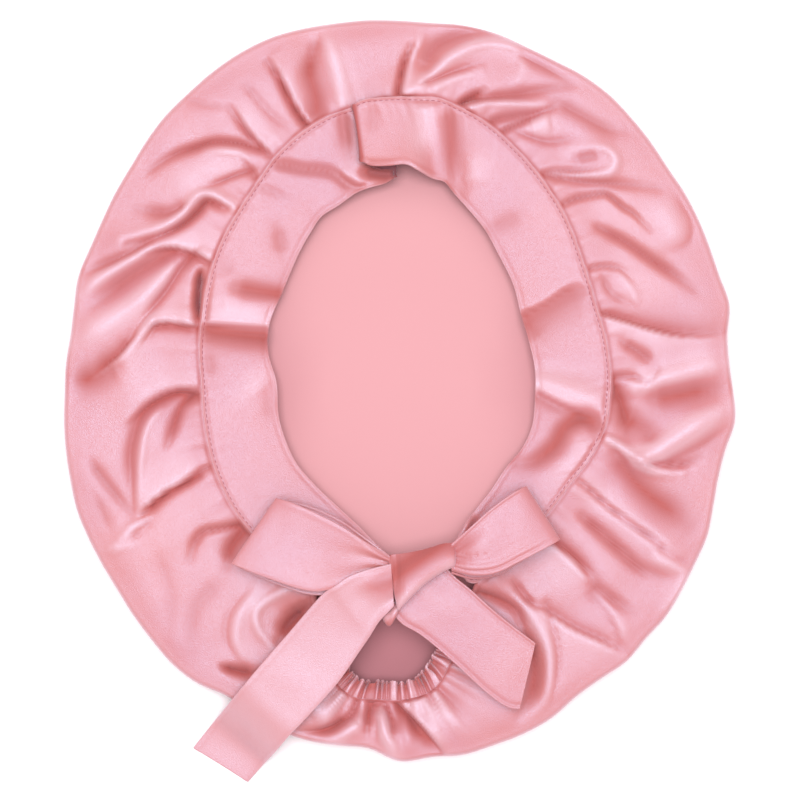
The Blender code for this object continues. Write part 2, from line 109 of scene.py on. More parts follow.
def smooth_rows(rows: Sequence[Sequence[float]], steps: int, closed: bool = False) -> Rows:
    """Puts rows of numbers on a Catmull-Rom curve.

    Args:
        rows: The rows that the curve goes through.
        steps: How many rows stand for each given one.
        closed: Whether the last row leads back to the first.

    Returns:
        The rows on the curve.
    """
    given = np.array(rows, float)
    count = len(given)
    t = (np.arange(steps) / steps)[:, None]
    found = []
    for span in range(count if closed else count - 1):
        places = (span - 1, span, span + 1, span + 2)
        if closed:
            p0, p1, p2, p3 = (given[place % count] for place in places)
        else:
            p0, p1, p2, p3 = (given[min(max(place, 0), count - 1)] for place in places)
        found.append(0.5 * (2 * p1 + (p2 - p0) * t + (2 * p0 - 5 * p1 + 4 * p2 - p3) * t ** 2
                            + (3 * p1 - p0 - 3 * p2 + p3) * t ** 3))
    if not closed:
        found.append(given[-1:])
    return np.concatenate(found)


def smoothstep(value: Rows | float) -> Rows:
    """Returns 0 below 0, 1 above 1 and an S-shaped ramp between them."""
    value = np.clip(value, 0.0, 1.0)
    return value * value * (3.0 - 2.0 * value)


def bump(value: Rows, width: float) -> Rows:
    """Returns a bell curve of height 1 and of this width round 0."""
    return np.exp(-0.5 * (value / width) ** 2)


def ripple(place: Rows, waves: Sequence[tuple[float, float, float]]) -> Rows:
    """Adds up sine waves.

    Args:
        place: Where to read them, in mm.
        waves: Each wave's height and length in mm, and its phase in turns.

    Returns:
        The height of all the waves together, in mm.
    """
    total = np.zeros_like(place)
    for height, length, phase in waves:
        total = total + height * np.sin(math.tau * (place / length + phase))
    return total


def strip_width(sections: Rows) -> Rows:
    """Returns the width of a strip at each of its sections, in mm."""
    return np.linalg.norm(sections[:, 3:] - sections[:, :3], axis=1)


def along(points: Rows) -> Rows:
    """Returns the length in plan from the first point to each point of a line."""
    steps = np.linalg.norm(np.diff(points[:, :2], axis=0), axis=1)
    return np.concatenate([[0.0], np.cumsum(steps)])


def nearest_on(points: Rows, curve: Rows, block: int = 4000) -> tuple[Rows, Rows, Rows]:
    """Finds the nearest place on a closed curve to each point.

    Args:
        points: The points, of which only X and Y are read.
        curve: The curve's points, in order.
        block: How many points are worked out at a time.

    Returns:
        Each point's distance in plan, the curve's Z there and the length along the curve.
    """
    ends = np.roll(curve, -1, axis=0)
    run = ends[:, :2] - curve[:, :2]
    length = np.maximum((run ** 2).sum(axis=1), 1e-9)
    places = along(curve)
    found = []
    for start in range(0, len(points), block):
        part = points[start:start + block]
        from_start = part[:, None, :2] - curve[None, :, :2]
        share = np.clip((from_start * run).sum(axis=2) / length, 0.0, 1.0)
        away = ((from_start - run * share[..., None]) ** 2).sum(axis=2)
        best = np.argmin(away, axis=1)
        pick = np.arange(len(part))
        share = share[pick, best]
        rise = curve[best, 2] + (ends[best, 2] - curve[best, 2]) * share
        place = places[best] + np.sqrt(length[best]) * share
        found.append((np.sqrt(away[pick, best]), rise, place))
    return tuple(np.concatenate(values) for values in zip(*found))


# ---------------------------------------------------------------- folds


@dataclass(frozen=True)
class FoldShape:
    """How folds stand in the cloth.

    Attributes:
        gain: By how much every fold is made higher than its table says.
        reach: How far from its line a fold is still felt, in mm.
        crest_width: The width of a pleat's crest, in mm.
        lean: How far a crest leans over its hollow, as a share of the fold's height.
        fall: How far it takes to fall from a pleat's crest into its hollow, in mm.
        climb: How far it takes to climb to the crest on its other side, in mm.
        swell: How wide a plain swell is, as a share of the fold's width.
        valley: How sharp a plain valley is: 1 is a crease and 2 is round.
        deepest: The deepest that folds get together, in mm.
        finest: The narrowest fold that the cloth's grid shows cleanly, in mm.
        overhang: How far a pleat's fall starts before its line, in mm.
        far_end: The last share of a line, over which its fold dies away.
        far_loss: How much of the fold is gone at that end.
        near_end: The first share of a line, over which its fold rises.
        near_loss: How much of the fold is missing at that end.
        end_width: The widest that a fold's rounded end gets, in mm.
        end_round: How softly it is rounded, as a share of its width.
        path_steps: How many points stand for each given one of a line.
    """

    gain: float = 1.12
    reach: float = 19.0
    crest_width: float = 1.5
    lean: float = 0.05
    fall: float = 2.6
    climb: float = 9.0
    swell: float = 2.0
    valley: float = 1.25
    deepest: float = 9.0
    finest: float = 1.35
    overhang: float = 0.4
    far_end: float = 0.4
    far_loss: float = 0.7
    near_end: float = 0.15
    near_loss: float = 0.4
    end_width: float = 3.0
    end_round: float = 1.2
    path_steps: int = 14

    def relief(self, points: Rows, folds: Sequence[Fold]) -> tuple[Rows, Rows]:
        """Works out how folds move points of the cloth.

        Args:
            points: The points, as rows of X and Y.
            folds: The folds.

        Returns:
            Each point's rise, and its shift in X and Y.
        """
        rise = np.zeros(len(points))
        shift = np.zeros((len(points), 2))
        for fold in folds:
            path = smooth_rows(fold.line, self.path_steps)
            low, high = path.min(axis=0) - 2 * self.reach, path.max(axis=0) + 2 * self.reach
            close = np.flatnonzero(((points > low) & (points < high)).all(axis=1))
            if len(close):
                up, side = self.one_fold(points[close], path, fold)
                rise[close] += up * self.gain
                shift[close] += side
        sunk = self.deepest * np.tanh(np.minimum(rise, 0.0) / self.deepest)
        return np.where(rise < 0, sunk, rise), shift

    def one_fold(self, points: Rows, path: Rows, fold: Fold) -> tuple[Rows, Rows]:
        """Works out how one fold moves the points near it.

        A pleat has a narrow crest that leans over the hollow beside it, and the hollow falls
        away from the crest and climbs out slowly.

        Args:
            points: The points, as rows of X and Y.
            path: Points along the fold's line.
            fold: The fold.

        Returns:
            Each point's rise, and its shift in X and Y.
        """
        run = np.gradient(path, axis=0)
        run /= np.linalg.norm(run, axis=1, keepdims=True)
        near = np.argmin(((points[:, None] - path) ** 2).sum(axis=2), axis=1)
        away = points - path[near]
        run = run[near]
        share = near / (len(path) - 1)
        width = np.maximum(fold.narrow + (fold.wide - fold.narrow) * share, self.finest)
        left = run[:, 0] * away[:, 1] - run[:, 1] * away[:, 0]
        ahead = (run * away).sum(axis=1)
        ends = 1 - self.far_loss * smoothstep((share - (1 - self.far_end)) / self.far_end)
        ends = ends - self.near_loss * smoothstep((self.near_end - share) / self.near_end)
        fade = bump(ahead / np.minimum(width, self.end_width), self.end_round)
        fade = fade * ends * bump(left, self.reach)
        if not fold.hollow:
            if fold.crest < 0:
                rise = fold.crest * np.exp(-(np.abs(left) / width) ** self.valley)
            else:
                rise = fold.crest / (1 + (left / width / self.swell) ** 2) ** 1.5
            return fade * rise, np.zeros_like(points)
        turned = math.copysign(1.0, fold.hollow)
        depth = abs(fold.hollow)
        across = turned * left
        over = smoothstep((across + self.overhang) / self.fall)
        crest = fold.crest * (1 - over) * np.exp(np.minimum(across, 0.0) / self.climb)
        past = np.maximum(across - self.fall + self.overhang, 0.0)
        hollow = depth * over * np.exp(-past / width)
        rise = fade * (crest - hollow)
        narrow = self.crest_width
        lean = self.lean * (fold.crest + depth) * bump(across + 0.3 * narrow, narrow) * fade
        normal = np.stack([-run[:, 1], run[:, 0]], axis=1) * turned
        return rise, normal * lean[:, None]


# ---------------------------------------------------------------- finishes


def linear(colour: str, alpha: float = 1.0) -> Colour:
    """Turns an sRGB hex colour such as "#E7A2A6" into Blender's linear colour."""
    parts = [int(colour[place:place + 2], 16) / 255 for place in (1, 3, 5)]
    red, green, blue = (part / 12.92 if part <= 0.04045 else ((part + 0.055) / 1.055) ** 2.4
                        for part in parts)
    return red, green, blue, alpha


def add_node(tree: bpy.types.NodeTree, kind: str, values: dict | None = None,
             links: dict | None = None, **settings: object) -> bpy.types.Node:
    """Adds a node to a material.

    Args:
        tree: The material's node tree.
        kind: The node's type, such as "ShaderNodeMix".
        values: Input names or numbers, with the values that they take.
        links: Input names or numbers, with the output sockets that feed them.
        **settings: The node's own settings.

    Returns:
        The node.
    """
    node = tree.nodes.new(kind)
    for name, value in settings.items():
        setattr(node, name, value)
    for name, value in (values or {}).items():
        node.inputs[name].default_value = value
    for name, socket in (links or {}).items():
        tree.links.new(socket, node.inputs[name])
    return node


def placed(name: str, data: bpy.types.ID) -> bpy.types.Object:
    """Returns a new object with this data, linked to the scene."""
    made = bpy.data.objects.new(name, data)
    bpy.context.scene.collection.objects.link(made)
    return made


@dataclass(frozen=True)
class WovenSatin:
    """Polyester satin, woven with long floats that lie side by side.

    The floats give a broad soft gloss that is nearly white on what faces the light, and the
    hollows are painted a deeper pink. The light and shade of the folds is painted into the base
    colour: it goes from `face` to `hollow` and on to `deep` with the depth in the folds, a painted
    shade that stands in for the redder, duller light that a hollow gets from the cloth around it,
    and to `crest` on their tops, a painted highlight. Light tints are lifted by `bloom`, which is
    the pale fuzz of the yarn seen across the surface. A thread is about 0.1 mm wide and too fine
    to show, so its grain is drawn at `grain_mm`, the size that just shows.

    Attributes:
        name: The material's name.
        face: The satin's own pink.
        shade: The pink that it drifts to over `drift_mm`.
        hollow: Its colour in a hollow of `painted_shade_mm`, a painted shade.
        crest: Its colour on a crest of `painted_highlight_mm`, a painted highlight.
        deep: Its colour in a hollow of `darkest_painted_shade_mm`, a darker painted shade.
        glint: The tint of its gloss.
        roughness: The roughness of its face.
        hollow_roughness: The roughness in a hollow, where the floats don't catch the light.
        index: Its index of refraction, raised for the floats that lie side by side.
        gloss: The strength of its gloss.
        bloom: The strength of the fuzz.
        bloom_roughness: The spread of the fuzz.
        fuzz: The colour of the fuzz.
        grain_mm: The size of its grain.
        grain_depth_mm: The depth of its grain.
        grain_strength: The share of that depth that is seen.
        drift_mm: The size of the patches over which its pink drifts.
        painted_shade_mm: The depth at which its colour has got to `hollow`.
        darkest_painted_shade_mm: The depth at which it has got to `deep`.
        painted_highlight_mm: The height at which it has got to `crest`.
    """

    name: str
    face: str = "#D1786B"
    shade: str = "#C57073"
    hollow: str = "#B14936"
    crest: str = "#D99DA0"
    deep: str = "#6A2016"
    glint: str = "#A6E0FF"
    roughness: float = 0.38
    hollow_roughness: float = 0.85
    index: float = 1.75
    gloss: float = 1.0
    bloom: float = 0.5
    bloom_roughness: float = 0.35
    fuzz: str = "#FFE9F2"
    grain_mm: float = 0.5
    grain_depth_mm: float = 0.42
    grain_strength: float = 0.6
    drift_mm: float = 45.0
    painted_shade_mm: float = 3.9
    darkest_painted_shade_mm: float = 10.0
    painted_highlight_mm: float = 2.3

    def material(self) -> bpy.types.Material:
        """Makes the material."""
        material = bpy.data.materials.new(self.name)
        material.use_nodes = True
        tree = material.node_tree
        shader = tree.nodes["Principled BSDF"]
        place = add_node(tree, "ShaderNodeTexCoord")
        drift = add_node(tree, "ShaderNodeTexNoise",
                         {"Scale": 1 / (self.drift_mm * MM), "Detail": 2.0},
                         {"Vector": place.outputs["Object"]})
        tint = add_node(tree, "ShaderNodeMix", {6: linear(self.face), 7: linear(self.shade)},
                        {0: drift.outputs["Fac"]}, data_type="RGBA")
        height = add_node(tree, "ShaderNodeAttribute")
        height.attribute_name = FOLD_AND_PAINTED_LIGHT
        colour = tint.outputs[2]
        # Painted shade and highlight: the fold mark takes the colour to hollow and deep below 0, and
        # to crest above it.
        for start, end, name in ((0.0, -self.painted_shade_mm, self.hollow),
                                 (-self.painted_shade_mm, -self.darkest_painted_shade_mm, self.deep),
                                 (0.0, self.painted_highlight_mm, self.crest)):
            share = add_node(tree, "ShaderNodeMapRange", {"From Min": start, "From Max": end},
                             {"Value": height.outputs["Fac"]})
            mixed = add_node(tree, "ShaderNodeMix", {7: linear(name)},
                             {0: share.outputs["Result"], 6: colour}, data_type="RGBA")
            colour = mixed.outputs[2]
        tree.links.new(colour, shader.inputs["Base Color"])
        dull = add_node(tree, "ShaderNodeMapRange",
                        {"From Max": -self.painted_shade_mm, "To Min": self.roughness,
                         "To Max": self.hollow_roughness},
                        {"Value": height.outputs["Fac"]})
        tree.links.new(dull.outputs["Result"], shader.inputs["Roughness"])
        grain = add_node(tree, "ShaderNodeTexNoise",
                         {"Scale": 1 / (self.grain_mm * MM), "Detail": 2.0, "Roughness": 0.6},
                         {"Vector": place.outputs["Object"]})
        relief = add_node(tree, "ShaderNodeBump",
                          {"Strength": self.grain_strength, "Distance": self.grain_depth_mm * MM},
                          {"Height": grain.outputs["Fac"]})
        tree.links.new(relief.outputs["Normal"], shader.inputs["Normal"])
        shader.inputs["Specular IOR Level"].default_value = self.gloss
        shader.inputs["IOR"].default_value = self.index
        shader.inputs["Specular Tint"].default_value = linear(self.glint)
        shader.inputs["Sheen Weight"].default_value = self.bloom
        shader.inputs["Sheen Roughness"].default_value = self.bloom_roughness
        shader.inputs["Sheen Tint"].default_value = linear(self.fuzz)
        return material


@dataclass(frozen=True)
class SatinBack:
    """The matte back of the satin, where the yarn's short floats scatter the light.

    It is an even pale pink, and goes to `hollow` where little light gets in under the band and
    the bow. Its weave is drawn at `grain_mm`, coarser than the thread, as a soft unevenness.
    """

    name: str
    face: str = "#CF979B"
    hollow: str = "#9A5560"
    painted_shade_mm: float = 4.0
    roughness: float = 0.75
    gloss: float = 0.25
    grain_mm: float = 1.2
    grain_depth_mm: float = 0.02
    grain_strength: float = 0.3

    def material(self) -> bpy.types.Material:
        """Makes the material."""
        material = bpy.data.materials.new(self.name)
        material.use_nodes = True
        tree = material.node_tree
        shader = tree.nodes["Principled BSDF"]
        place = add_node(tree, "ShaderNodeTexCoord")
        grain = add_node(tree, "ShaderNodeTexNoise",
                         {"Scale": 1 / (self.grain_mm * MM), "Detail": 2.0},
                         {"Vector": place.outputs["Object"]})
        relief = add_node(tree, "ShaderNodeBump",
                          {"Strength": self.grain_strength, "Distance": self.grain_depth_mm * MM},
                          {"Height": grain.outputs["Fac"]})
        tree.links.new(relief.outputs["Normal"], shader.inputs["Normal"])
        depth = add_node(tree, "ShaderNodeAttribute")
        depth.attribute_name = FOLD_AND_PAINTED_LIGHT
        share = add_node(tree, "ShaderNodeMapRange", {"From Max": -self.painted_shade_mm},
                         {"Value": depth.outputs["Fac"]})
        shaded = add_node(tree, "ShaderNodeMix", {6: linear(self.face), 7: linear(self.hollow)},
                          {0: share.outputs["Result"]}, data_type="RGBA")
        tree.links.new(shaded.outputs[2], shader.inputs["Base Color"])
        shader.inputs["Roughness"].default_value = self.roughness
        shader.inputs["Specular IOR Level"].default_value = self.gloss
        return material


@dataclass(frozen=True)
class SewingThread:
    """Spun polyester thread: a little darker than the satin and dull, so stitches just show."""

    name: str
    face: str = "#A4545C"
    shade: str = "#96464F"
    twist_mm: float = 0.8
    roughness: float = 0.6

    def material(self) -> bpy.types.Material:
        """Makes the material."""
        material = bpy.data.materials.new(self.name)
        material.use_nodes = True
        tree = material.node_tree
        shader = tree.nodes["Principled BSDF"]
        place = add_node(tree, "ShaderNodeTexCoord")
        twist = add_node(tree, "ShaderNodeTexNoise", {"Scale": 1 / (self.twist_mm * MM)},
                         {"Vector": place.outputs["Object"]})
        tint = add_node(tree, "ShaderNodeMix", {6: linear(self.face), 7: linear(self.shade)},
                        {0: twist.outputs["Fac"]}, data_type="RGBA")
        tree.links.new(tint.outputs[2], shader.inputs["Base Color"])
        shader.inputs["Roughness"].default_value = self.roughness
        return material


@dataclass(frozen=True)
class PaleTable:
    """A matte white laminate, which gives only soft shadows."""

    name: str = "matte white laminate"
    face: str = "#F9F9F9"
    roughness: float = 0.9
    gloss: float = 0.1

    def material(self) -> bpy.types.Material:
        """Makes the material."""
        material = bpy.data.materials.new(self.name)
        material.use_nodes = True
        shader = material.node_tree.nodes["Principled BSDF"]
        shader.inputs["Base Color"].default_value = linear(self.face)
        shader.inputs["Roughness"].default_value = self.roughness
        shader.inputs["Specular IOR Level"].default_value = self.gloss
        return material


# ---------------------------------------------------------------- cloth


@dataclass
class ClothSheet:
    """A sheet of cloth: a grid of faces laid on rows of points, given a thickness.

    Attributes:
        name: The piece's name.
        points: Rows of columns of points, in mm. The fourth number of each is its height in
        the folds, above 0 on a crest and below it in a hollow, with painted marks added; it
        paints the satin's highlight and shade.
        thickness: The cloth's thickness, in mm.
        closed: Whether the last column joins the first, with the lowest row filled.
        refine: How many times the finished cloth is subdivided.
    """

    name: str
    points: Rows
    thickness: float
    closed: bool = False
    refine: int = 0

    def build(self, materials: Sequence[bpy.types.Material]) -> bpy.types.Object:
        """Builds the piece.

        Args:
            materials: The material of the cloth's face and, if it differs, of its back.

        Returns:
            The piece's object.
        """
        mesh = self.laid_grid()
        if self.closed:
            self.close_round(mesh)
        mesh.shade_smooth()
        for material in materials:
            mesh.materials.append(material)
        piece = placed(self.name, mesh)
        wall = piece.modifiers.new("cloth thickness", "SOLIDIFY")
        wall.thickness = self.thickness * MM
        wall.offset = 0.0
        wall.use_even_offset = not self.closed
        wall.material_offset = len(materials) - 1
        if self.refine:
            finer = piece.modifiers.new("soft edges", "SUBSURF")
            finer.levels = self.refine
            finer.render_levels = self.refine
        return piece

    def laid_grid(self) -> bpy.types.Mesh:
        """Makes the flat grid with its UV map, and lays it on the points."""
        points = self.points
        if self.closed:
            points = np.concatenate([points, points[:, :1]], axis=1)
        rows, columns = points.shape[:2]
        sheet = bmesh.new()
        sheet.loops.layers.uv.new(CLOTH_UV)
        bmesh.ops.create_grid(sheet, x_segments=columns - 1, y_segments=rows - 1, size=1.0,
                              calc_uvs=True)
        mesh = bpy.data.meshes.new(self.name)
        sheet.to_mesh(mesh)
        sheet.free()
        mesh.vertices.foreach_set("co", (points[..., :3] * MM).astype(np.float32).ravel())
        # The fourth numbers go on the mesh as the mark that paints its highlight and shade.
        height = mesh.attributes.new(FOLD_AND_PAINTED_LIGHT, "FLOAT", "POINT")
        height.data.foreach_set("value", points[..., 3].astype(np.float32).ravel())
        mesh.update()
        return mesh

    def close_round(self, mesh: bpy.types.Mesh) -> None:
        """Welds the last column to the first and fills the lowest row."""
        sheet = bmesh.new()
        sheet.from_mesh(mesh)
        bmesh.ops.remove_doubles(sheet, verts=sheet.verts, dist=0.001 * MM)
        floor = self.points[-1, :, 2].max() * MM + 0.01 * MM
        edges = [edge for edge in sheet.edges if edge.is_boundary]
        ring = [edge for edge in edges if max(vert.co.z for vert in edge.verts) < floor]
        bmesh.ops.contextual_create(sheet, geom=ring)
        bmesh.ops.recalc_face_normals(sheet, faces=sheet.faces)
        sheet.to_mesh(mesh)
        sheet.free()


def strip_points(sections: Rows, rows: int) -> tuple[Rows, Rows]:
    """Spreads points across a strip between its two edges, closer together at the edges.

    Args:
        sections: The strip's sections, as rows of six numbers.
        rows: How many rows of points run along the strip.

    Returns:
        The points, and how far across each row lies, from 0 at the seam edge to 1.
    """
    even = np.linspace(0.0, 1.0, rows)
    across = even - 0.7 * np.sin(math.tau * even) / math.tau
    share = across[:, None, None]
    points = sections[None, :, :3] * (1 - share) + sections[None, :, 3:] * share
    return points, across


def raised(points: Rows, height: Rows, plain: Rows | float = 0.0) -> Rows:
    """Moves each point of a grid along the grid's own normal.

    Args:
        points: Rows of columns of points.
        height: How far each point moves, in mm. Positive is up on a sheet that lies flat.
        plain: How much of that isn't a fold, such as the cloth's broad swell. It is taken off the
        mark that paints the satin's highlight and shade, so callers also put painted offsets in it.

    Returns:
        The moved points, each with its mark after it: its height in the folds less `plain`,
        which paints the satin's highlight and shade.
    """
    run = np.gradient(points, axis=1)
    rise = np.gradient(points, axis=0)
    normal = np.cross(rise, run)
    normal /= np.maximum(np.linalg.norm(normal, axis=2, keepdims=True), 1e-9)
    moved = points + normal * height[..., None]
    return np.concatenate([moved, (height - plain)[..., None]], axis=2)


# ---------------------------------------------------------------- the sewn opening


@dataclass
class Band:
    """The wide band round the front of the opening, with its Z-shaped pleat at the forehead.

    Attributes:
        thickness: The thickness of its doubled satin, in mm.
        steps: How many sections of the mesh stand for each given one.
        rows: How many rows of points run along it.
        stitch_inset: How far its stitches lie from its sewn edge, in mm.
        puff: How far its middle stands up between its edges, in mm.
        level: The height of its plain parts, in mm.
        sway: How much of its sections' rise and fall round that level is kept.
        finest: Its narrowest fold that its grid shows cleanly, in mm.
        stand: How much of the folds' height stands in the cloth. Their painted shade and
        highlight have all of it.
        groove: How deep the stitches draw the cloth in, in mm.
        seam_roll: How far the cloth rolls up at its sewn edge, in mm.
        free_roll: How far it rolls up at its free edge, in mm.
        free_dip: How deep it dips behind that roll, in mm.
        edge_place: How far from an edge its roll and its painted highlight line lie, in mm.
        edge_width: How wide that painted highlight line is, in mm.
        flat_seam: How far from the seam the folds have their full height, in mm.
        pucker_reach: How far from the seam its pucker is still felt, in mm.
        painted_edge_highlight: How much paler both edges are painted, a painted highlight given as
            the fold height that is as pale.
        painted_pleat_shade: The depth that the pleat's inside is marked with, a painted shade that
            makes it dark.
        pleat_blur: Over how many sections that mark fades in.
    """

    thickness: float = 1.2
    steps: int = 8
    rows: int = 32
    stitch_inset: float = 1.9
    puff: float = 0.7
    level: float = 22.0
    sway: float = 0.4
    finest: float = 2.0
    stand: float = 0.9
    groove: float = 0.5
    seam_roll: float = 0.35
    free_roll: float = 0.30
    free_dip: float = 0.35
    edge_place: float = 0.4
    edge_width: float = 0.7
    flat_seam: float = 5.0
    pucker_reach: float = 7.0
    painted_edge_highlight: float = 1.2
    painted_pleat_shade: float = 9.0
    pleat_blur: int = 9

    PUCKER = ((0.22, 5.3, 0.1), (0.18, 8.1, 0.6))
    RIGHT_END = (
        Section(29.4, -83.0, 33.5, 29.1, -72.5, 33.5),
        Section(35.0, -92.0, 30.0, 31.5, -66.5, 30.5),
    )
    RIGHT = (
        Section(41.0, -92.5, 28.0, 34.5, -61.5, 29.0),
        Section(52.5, -84.5, 25.5, 37.5, -57.5, 26.0),
        Section(64.5, -72.0, 23.5, 41.0, -53.0, 23.0),
        Section(77.5, -57.0, 22.0, 47.0, -45.5, 21.0),
        Section(89.5, -41.0, 22.0, 55.0, -33.5, 20.0),
        Section(99.0, -28.5, 22.0, 63.0, -24.0, 17.5),
        Section(106.5, -13.5, 21.5, 68.5, -12.0, 19.0),
        Section(109.0, 1.5, 23.0, 70.0, 2.5, 23.0),
        Section(109.5, 16.0, 25.0, 70.0, 17.0, 28.0),
        Section(107.0, 34.5, 23.0, 67.0, 31.5, 21.0),
        Section(102.0, 51.0, 22.0, 62.5, 47.0, 21.0),
        Section(96.5, 70.0, 22.0, 58.5, 62.0, 24.0),
        Section(86.0, 97.5, 22.0, 50.0, 79.0, 25.0),
        Section(70.5, 121.0, 22.0, 44.0, 90.0, 23.0),
        Section(55.0, 137.5, 22.0, 35.0, 101.0, 24.0),
        Section(41.0, 148.5, 22.0, 29.0, 107.5, 27.0),
        Section(29.5, 154.5, 22.0, 23.5, 114.5, 20.5),
        Section(20.0, 158.5, 23.0, 17.0, 116.5, 22.5),
        Section(10.5, 159.0, 24.0, 9.5, 120.5, 28.0),
    )
    PLEAT_TOP = (
        Section(0.5, 159.0, 25.6, 3.0, 123.5, 29.5),
        Section(-9.0, 158.5, 26.4, -6.0, 122.5, 31.0),
        Section(-18.5, 157.5, 26.4, -14.0, 122.5, 31.0),
        Section(-23.5, 155.0, 26.4, -19.0, 124.5, 30.0),
    )
    PLEAT_MIDDLE = (
        Section(-23.5, 155.0, 24.2, -19.0, 124.5, 27.0),
        Section(-9.0, 158.5, 24.2, -3.0, 117.0, 24.4),
    )
    LEFT = (
        Section(-9.0, 158.5, 22.0, -3.0, 117.0, 22.0),
        Section(-18.5, 155.5, 22.0, -8.0, 114.0, 21.0),
        Section(-28.0, 152.5, 22.0, -16.5, 111.5, 22.5),
        Section(-38.5, 148.5, 22.0, -23.5, 108.5, 24.5),
        Section(-51.5, 140.5, 22.0, -32.0, 102.5, 21.0),
        Section(-64.0, 129.0, 22.0, -40.5, 97.0, 22.0),
        Section(-74.5, 114.5, 22.0, -46.0, 89.0, 26.0),
        Section(-85.0, 98.5, 22.0, -51.5, 79.5, 25.0),
        Section(-94.0, 81.5, 23.0, -56.5, 68.5, 23.0),
        Section(-100.5, 60.5, 25.0, -62.0, 55.5, 18.0),
        Section(-103.0, 44.0, 27.0, -67.5, 42.0, 27.0),
        Section(-104.5, 27.5, 22.0, -68.5, 26.5, 17.0),
        Section(-103.5, 11.5, 22.0, -64.0, 10.5, 22.0),
        Section(-102.0, -9.0, 22.0, -62.5, -9.0, 23.0),
        Section(-97.5, -31.0, 22.0, -55.0, -29.0, 23.0),
        Section(-88.0, -53.0, 22.0, -44.5, -42.0, 22.0),
        Section(-75.0, -70.0, 23.0, -32.5, -53.5, 23.0),
        Section(-60.0, -87.0, 25.0, -21.5, -63.5, 26.0),
        Section(-46.0, -98.5, 27.5, -16.0, -69.0, 29.0),
    )
    LEFT_END = (
        Section(-28.5, -97.0, 30.0, -11.0, -74.0, 30.5),
        Section(-8.5, -86.0, 31.5, -7.5, -77.5, 31.5),
    )

    FOLDS = (
        # left
        Fold(((-84, 60), (-73, 58), (-59, 56), (-50, 55)), -4.6, 0.0, 3.5, 6.0),
        Fold(((-94, 50), (-80, 48), (-66, 49)), 1.2, 0.0, 5.0, 5.0),
        Fold(((-104, 42), (-85, 40), (-66, 39), (-50, 38)), 2.4, -5.6, 5.0, 9.0),
        Fold(((-63, 89), (-61, 78)), -1.8, 0.0, 3.0, 3.5),
        Fold(((-72, 112), (-66, 110), (-59, 106)), -1.2, 0.0, 1.4, 1.4),
        Fold(((-68, 4), (-68, -8)), -0.9, 0.0, 4.0, 4.0),
        Fold(((-100, 25), (-98, 14)), -1.2, 0.0, 3.5, 4.0),
        Fold(((-95, 72), (-86, 68)), -0.9, 0.0, 4.0, 4.0),
        Fold(((-78, 12), (-72, 4)), 1.2, 0.0, 7.0, 7.0),
        # left of the pleat
        Fold(((-70, 126), (-52, 122), (-36, 120), (-26, 113), (-19, 112)), -3.4, 0.0, 1.4, 1.6),
        Fold(((-31, 119), (-24, 117), (-18, 113)), 1.8, 0.0, 1.8, 1.8),
        Fold(((-31, 152), (-29, 142), (-28, 130)), -2.6, 0.0, 2.4, 3.4),
        # This fold also paints shade into the dark cavity under the pleat's top layer.
        Fold(((-17, 120), (-10, 119), (-1, 119)), -9.0, 0.0, 2.0, 2.4),
        # right
        Fold(((25, 151), (27, 134), (30, 112)), -3.6, 0.0, 3.4, 8.0),
        Fold(((12, 155), (12, 142), (10, 126)), 2.2, 0.0, 5.0, 5.0),
        Fold(((37, 128), (36, 112)), 1.6, 0.0, 5.0, 5.0),
        Fold(((-14, 152), (-14, 138)), -1.0, 0.0, 3.0, 3.0),
        Fold(((49, 91), (56, 94), (62, 98)), -1.4, 0.0, 4.0, 4.0),
        Fold(((60, 46), (74, 52), (88, 61), (98, 62)), 0.4, -3.0, 9.0, 12.0),
        Fold(((65, 42), (72, 34)), -1.4, 0.0, 6.0, 6.0),
        Fold(((68, 13), (82, 9), (96, 3), (108, -4)), 2.6, 0.0, 3.5, 5.0),
        Fold(((69, 8), (82, 1), (95, -5), (104, -12)), 0.6, -2.6, 3.0, 3.5),
        Fold(((104, -12), (96, -7), (86, -12), (80, -22), (70, -30), (62, -31)),
             -4.6, 0.0, 3.6, 4.2),
        Fold(((99, -22), (90, -30), (76, -39)), 1.4, 0.0, 5.0, 5.0),
    )

    def halves(self, steps: int) -> tuple[Rows, Rows]:
        """Returns the sections right of the pleat's fold, and those left of it."""
        right = np.array(self.RIGHT_END + self.RIGHT + self.PLEAT_TOP, float)
        left = np.array(self.LEFT + self.LEFT_END, float)
        for side, first, last in ((right, 3, len(self.RIGHT)), (left, 1, len(self.LEFT) - 2)):
            heights = side[first:last, [2, 5]]
            side[first:last, [2, 5]] = self.level + (heights - self.level) * self.sway
        return smooth_rows(right, steps), smooth_rows(left, steps)

    def sewn_sections(self, steps: int) -> Rows:
        """Returns the sections along which the skirt is sewn to the band."""
        right, left = self.halves(steps)
        start = steps * len(self.RIGHT_END)
        right = right[start:start + steps * (len(self.RIGHT) - 1) + 1]
        left = left[:steps * (len(self.LEFT) - 1) + 1]
        return np.concatenate([right, left])

    def sections(self) -> Rows:
        """Returns the whole band's sections, with the pleat's two turns."""
        right, left = self.halves(self.steps)
        middle = np.linspace(*np.array(self.PLEAT_MIDDLE, float), 6)
        return np.concatenate([
            right, self.half_turn(right[-1], middle[0], -1.0), middle,
            self.half_turn(middle[-1], left[0], 1.0), left,
        ])

    @staticmethod
    def half_turn(above: Rows, below: Rows, side: float, turns: int = 5) -> Rows:
        """Rounds the edge between two layers of the pleat.

        Args:
            above: The upper layer's last section.
            below: The lower layer's first section.
            side: 1 where the edge bulges towards +X, and -1 towards -X.
            turns: How many sections round it.

        Returns:
            The sections of the turn.
        """
        found = []
        for step in range(1, turns + 1):
            turn = math.pi * step / (turns + 1)
            place = (above + below) / 2 + (above - below) / 2 * math.cos(turn)
            place[[0, 3]] += side * np.abs(above - below)[[2, 5]] / 2 * math.sin(turn)
            found.append(place)
        return np.array(found)

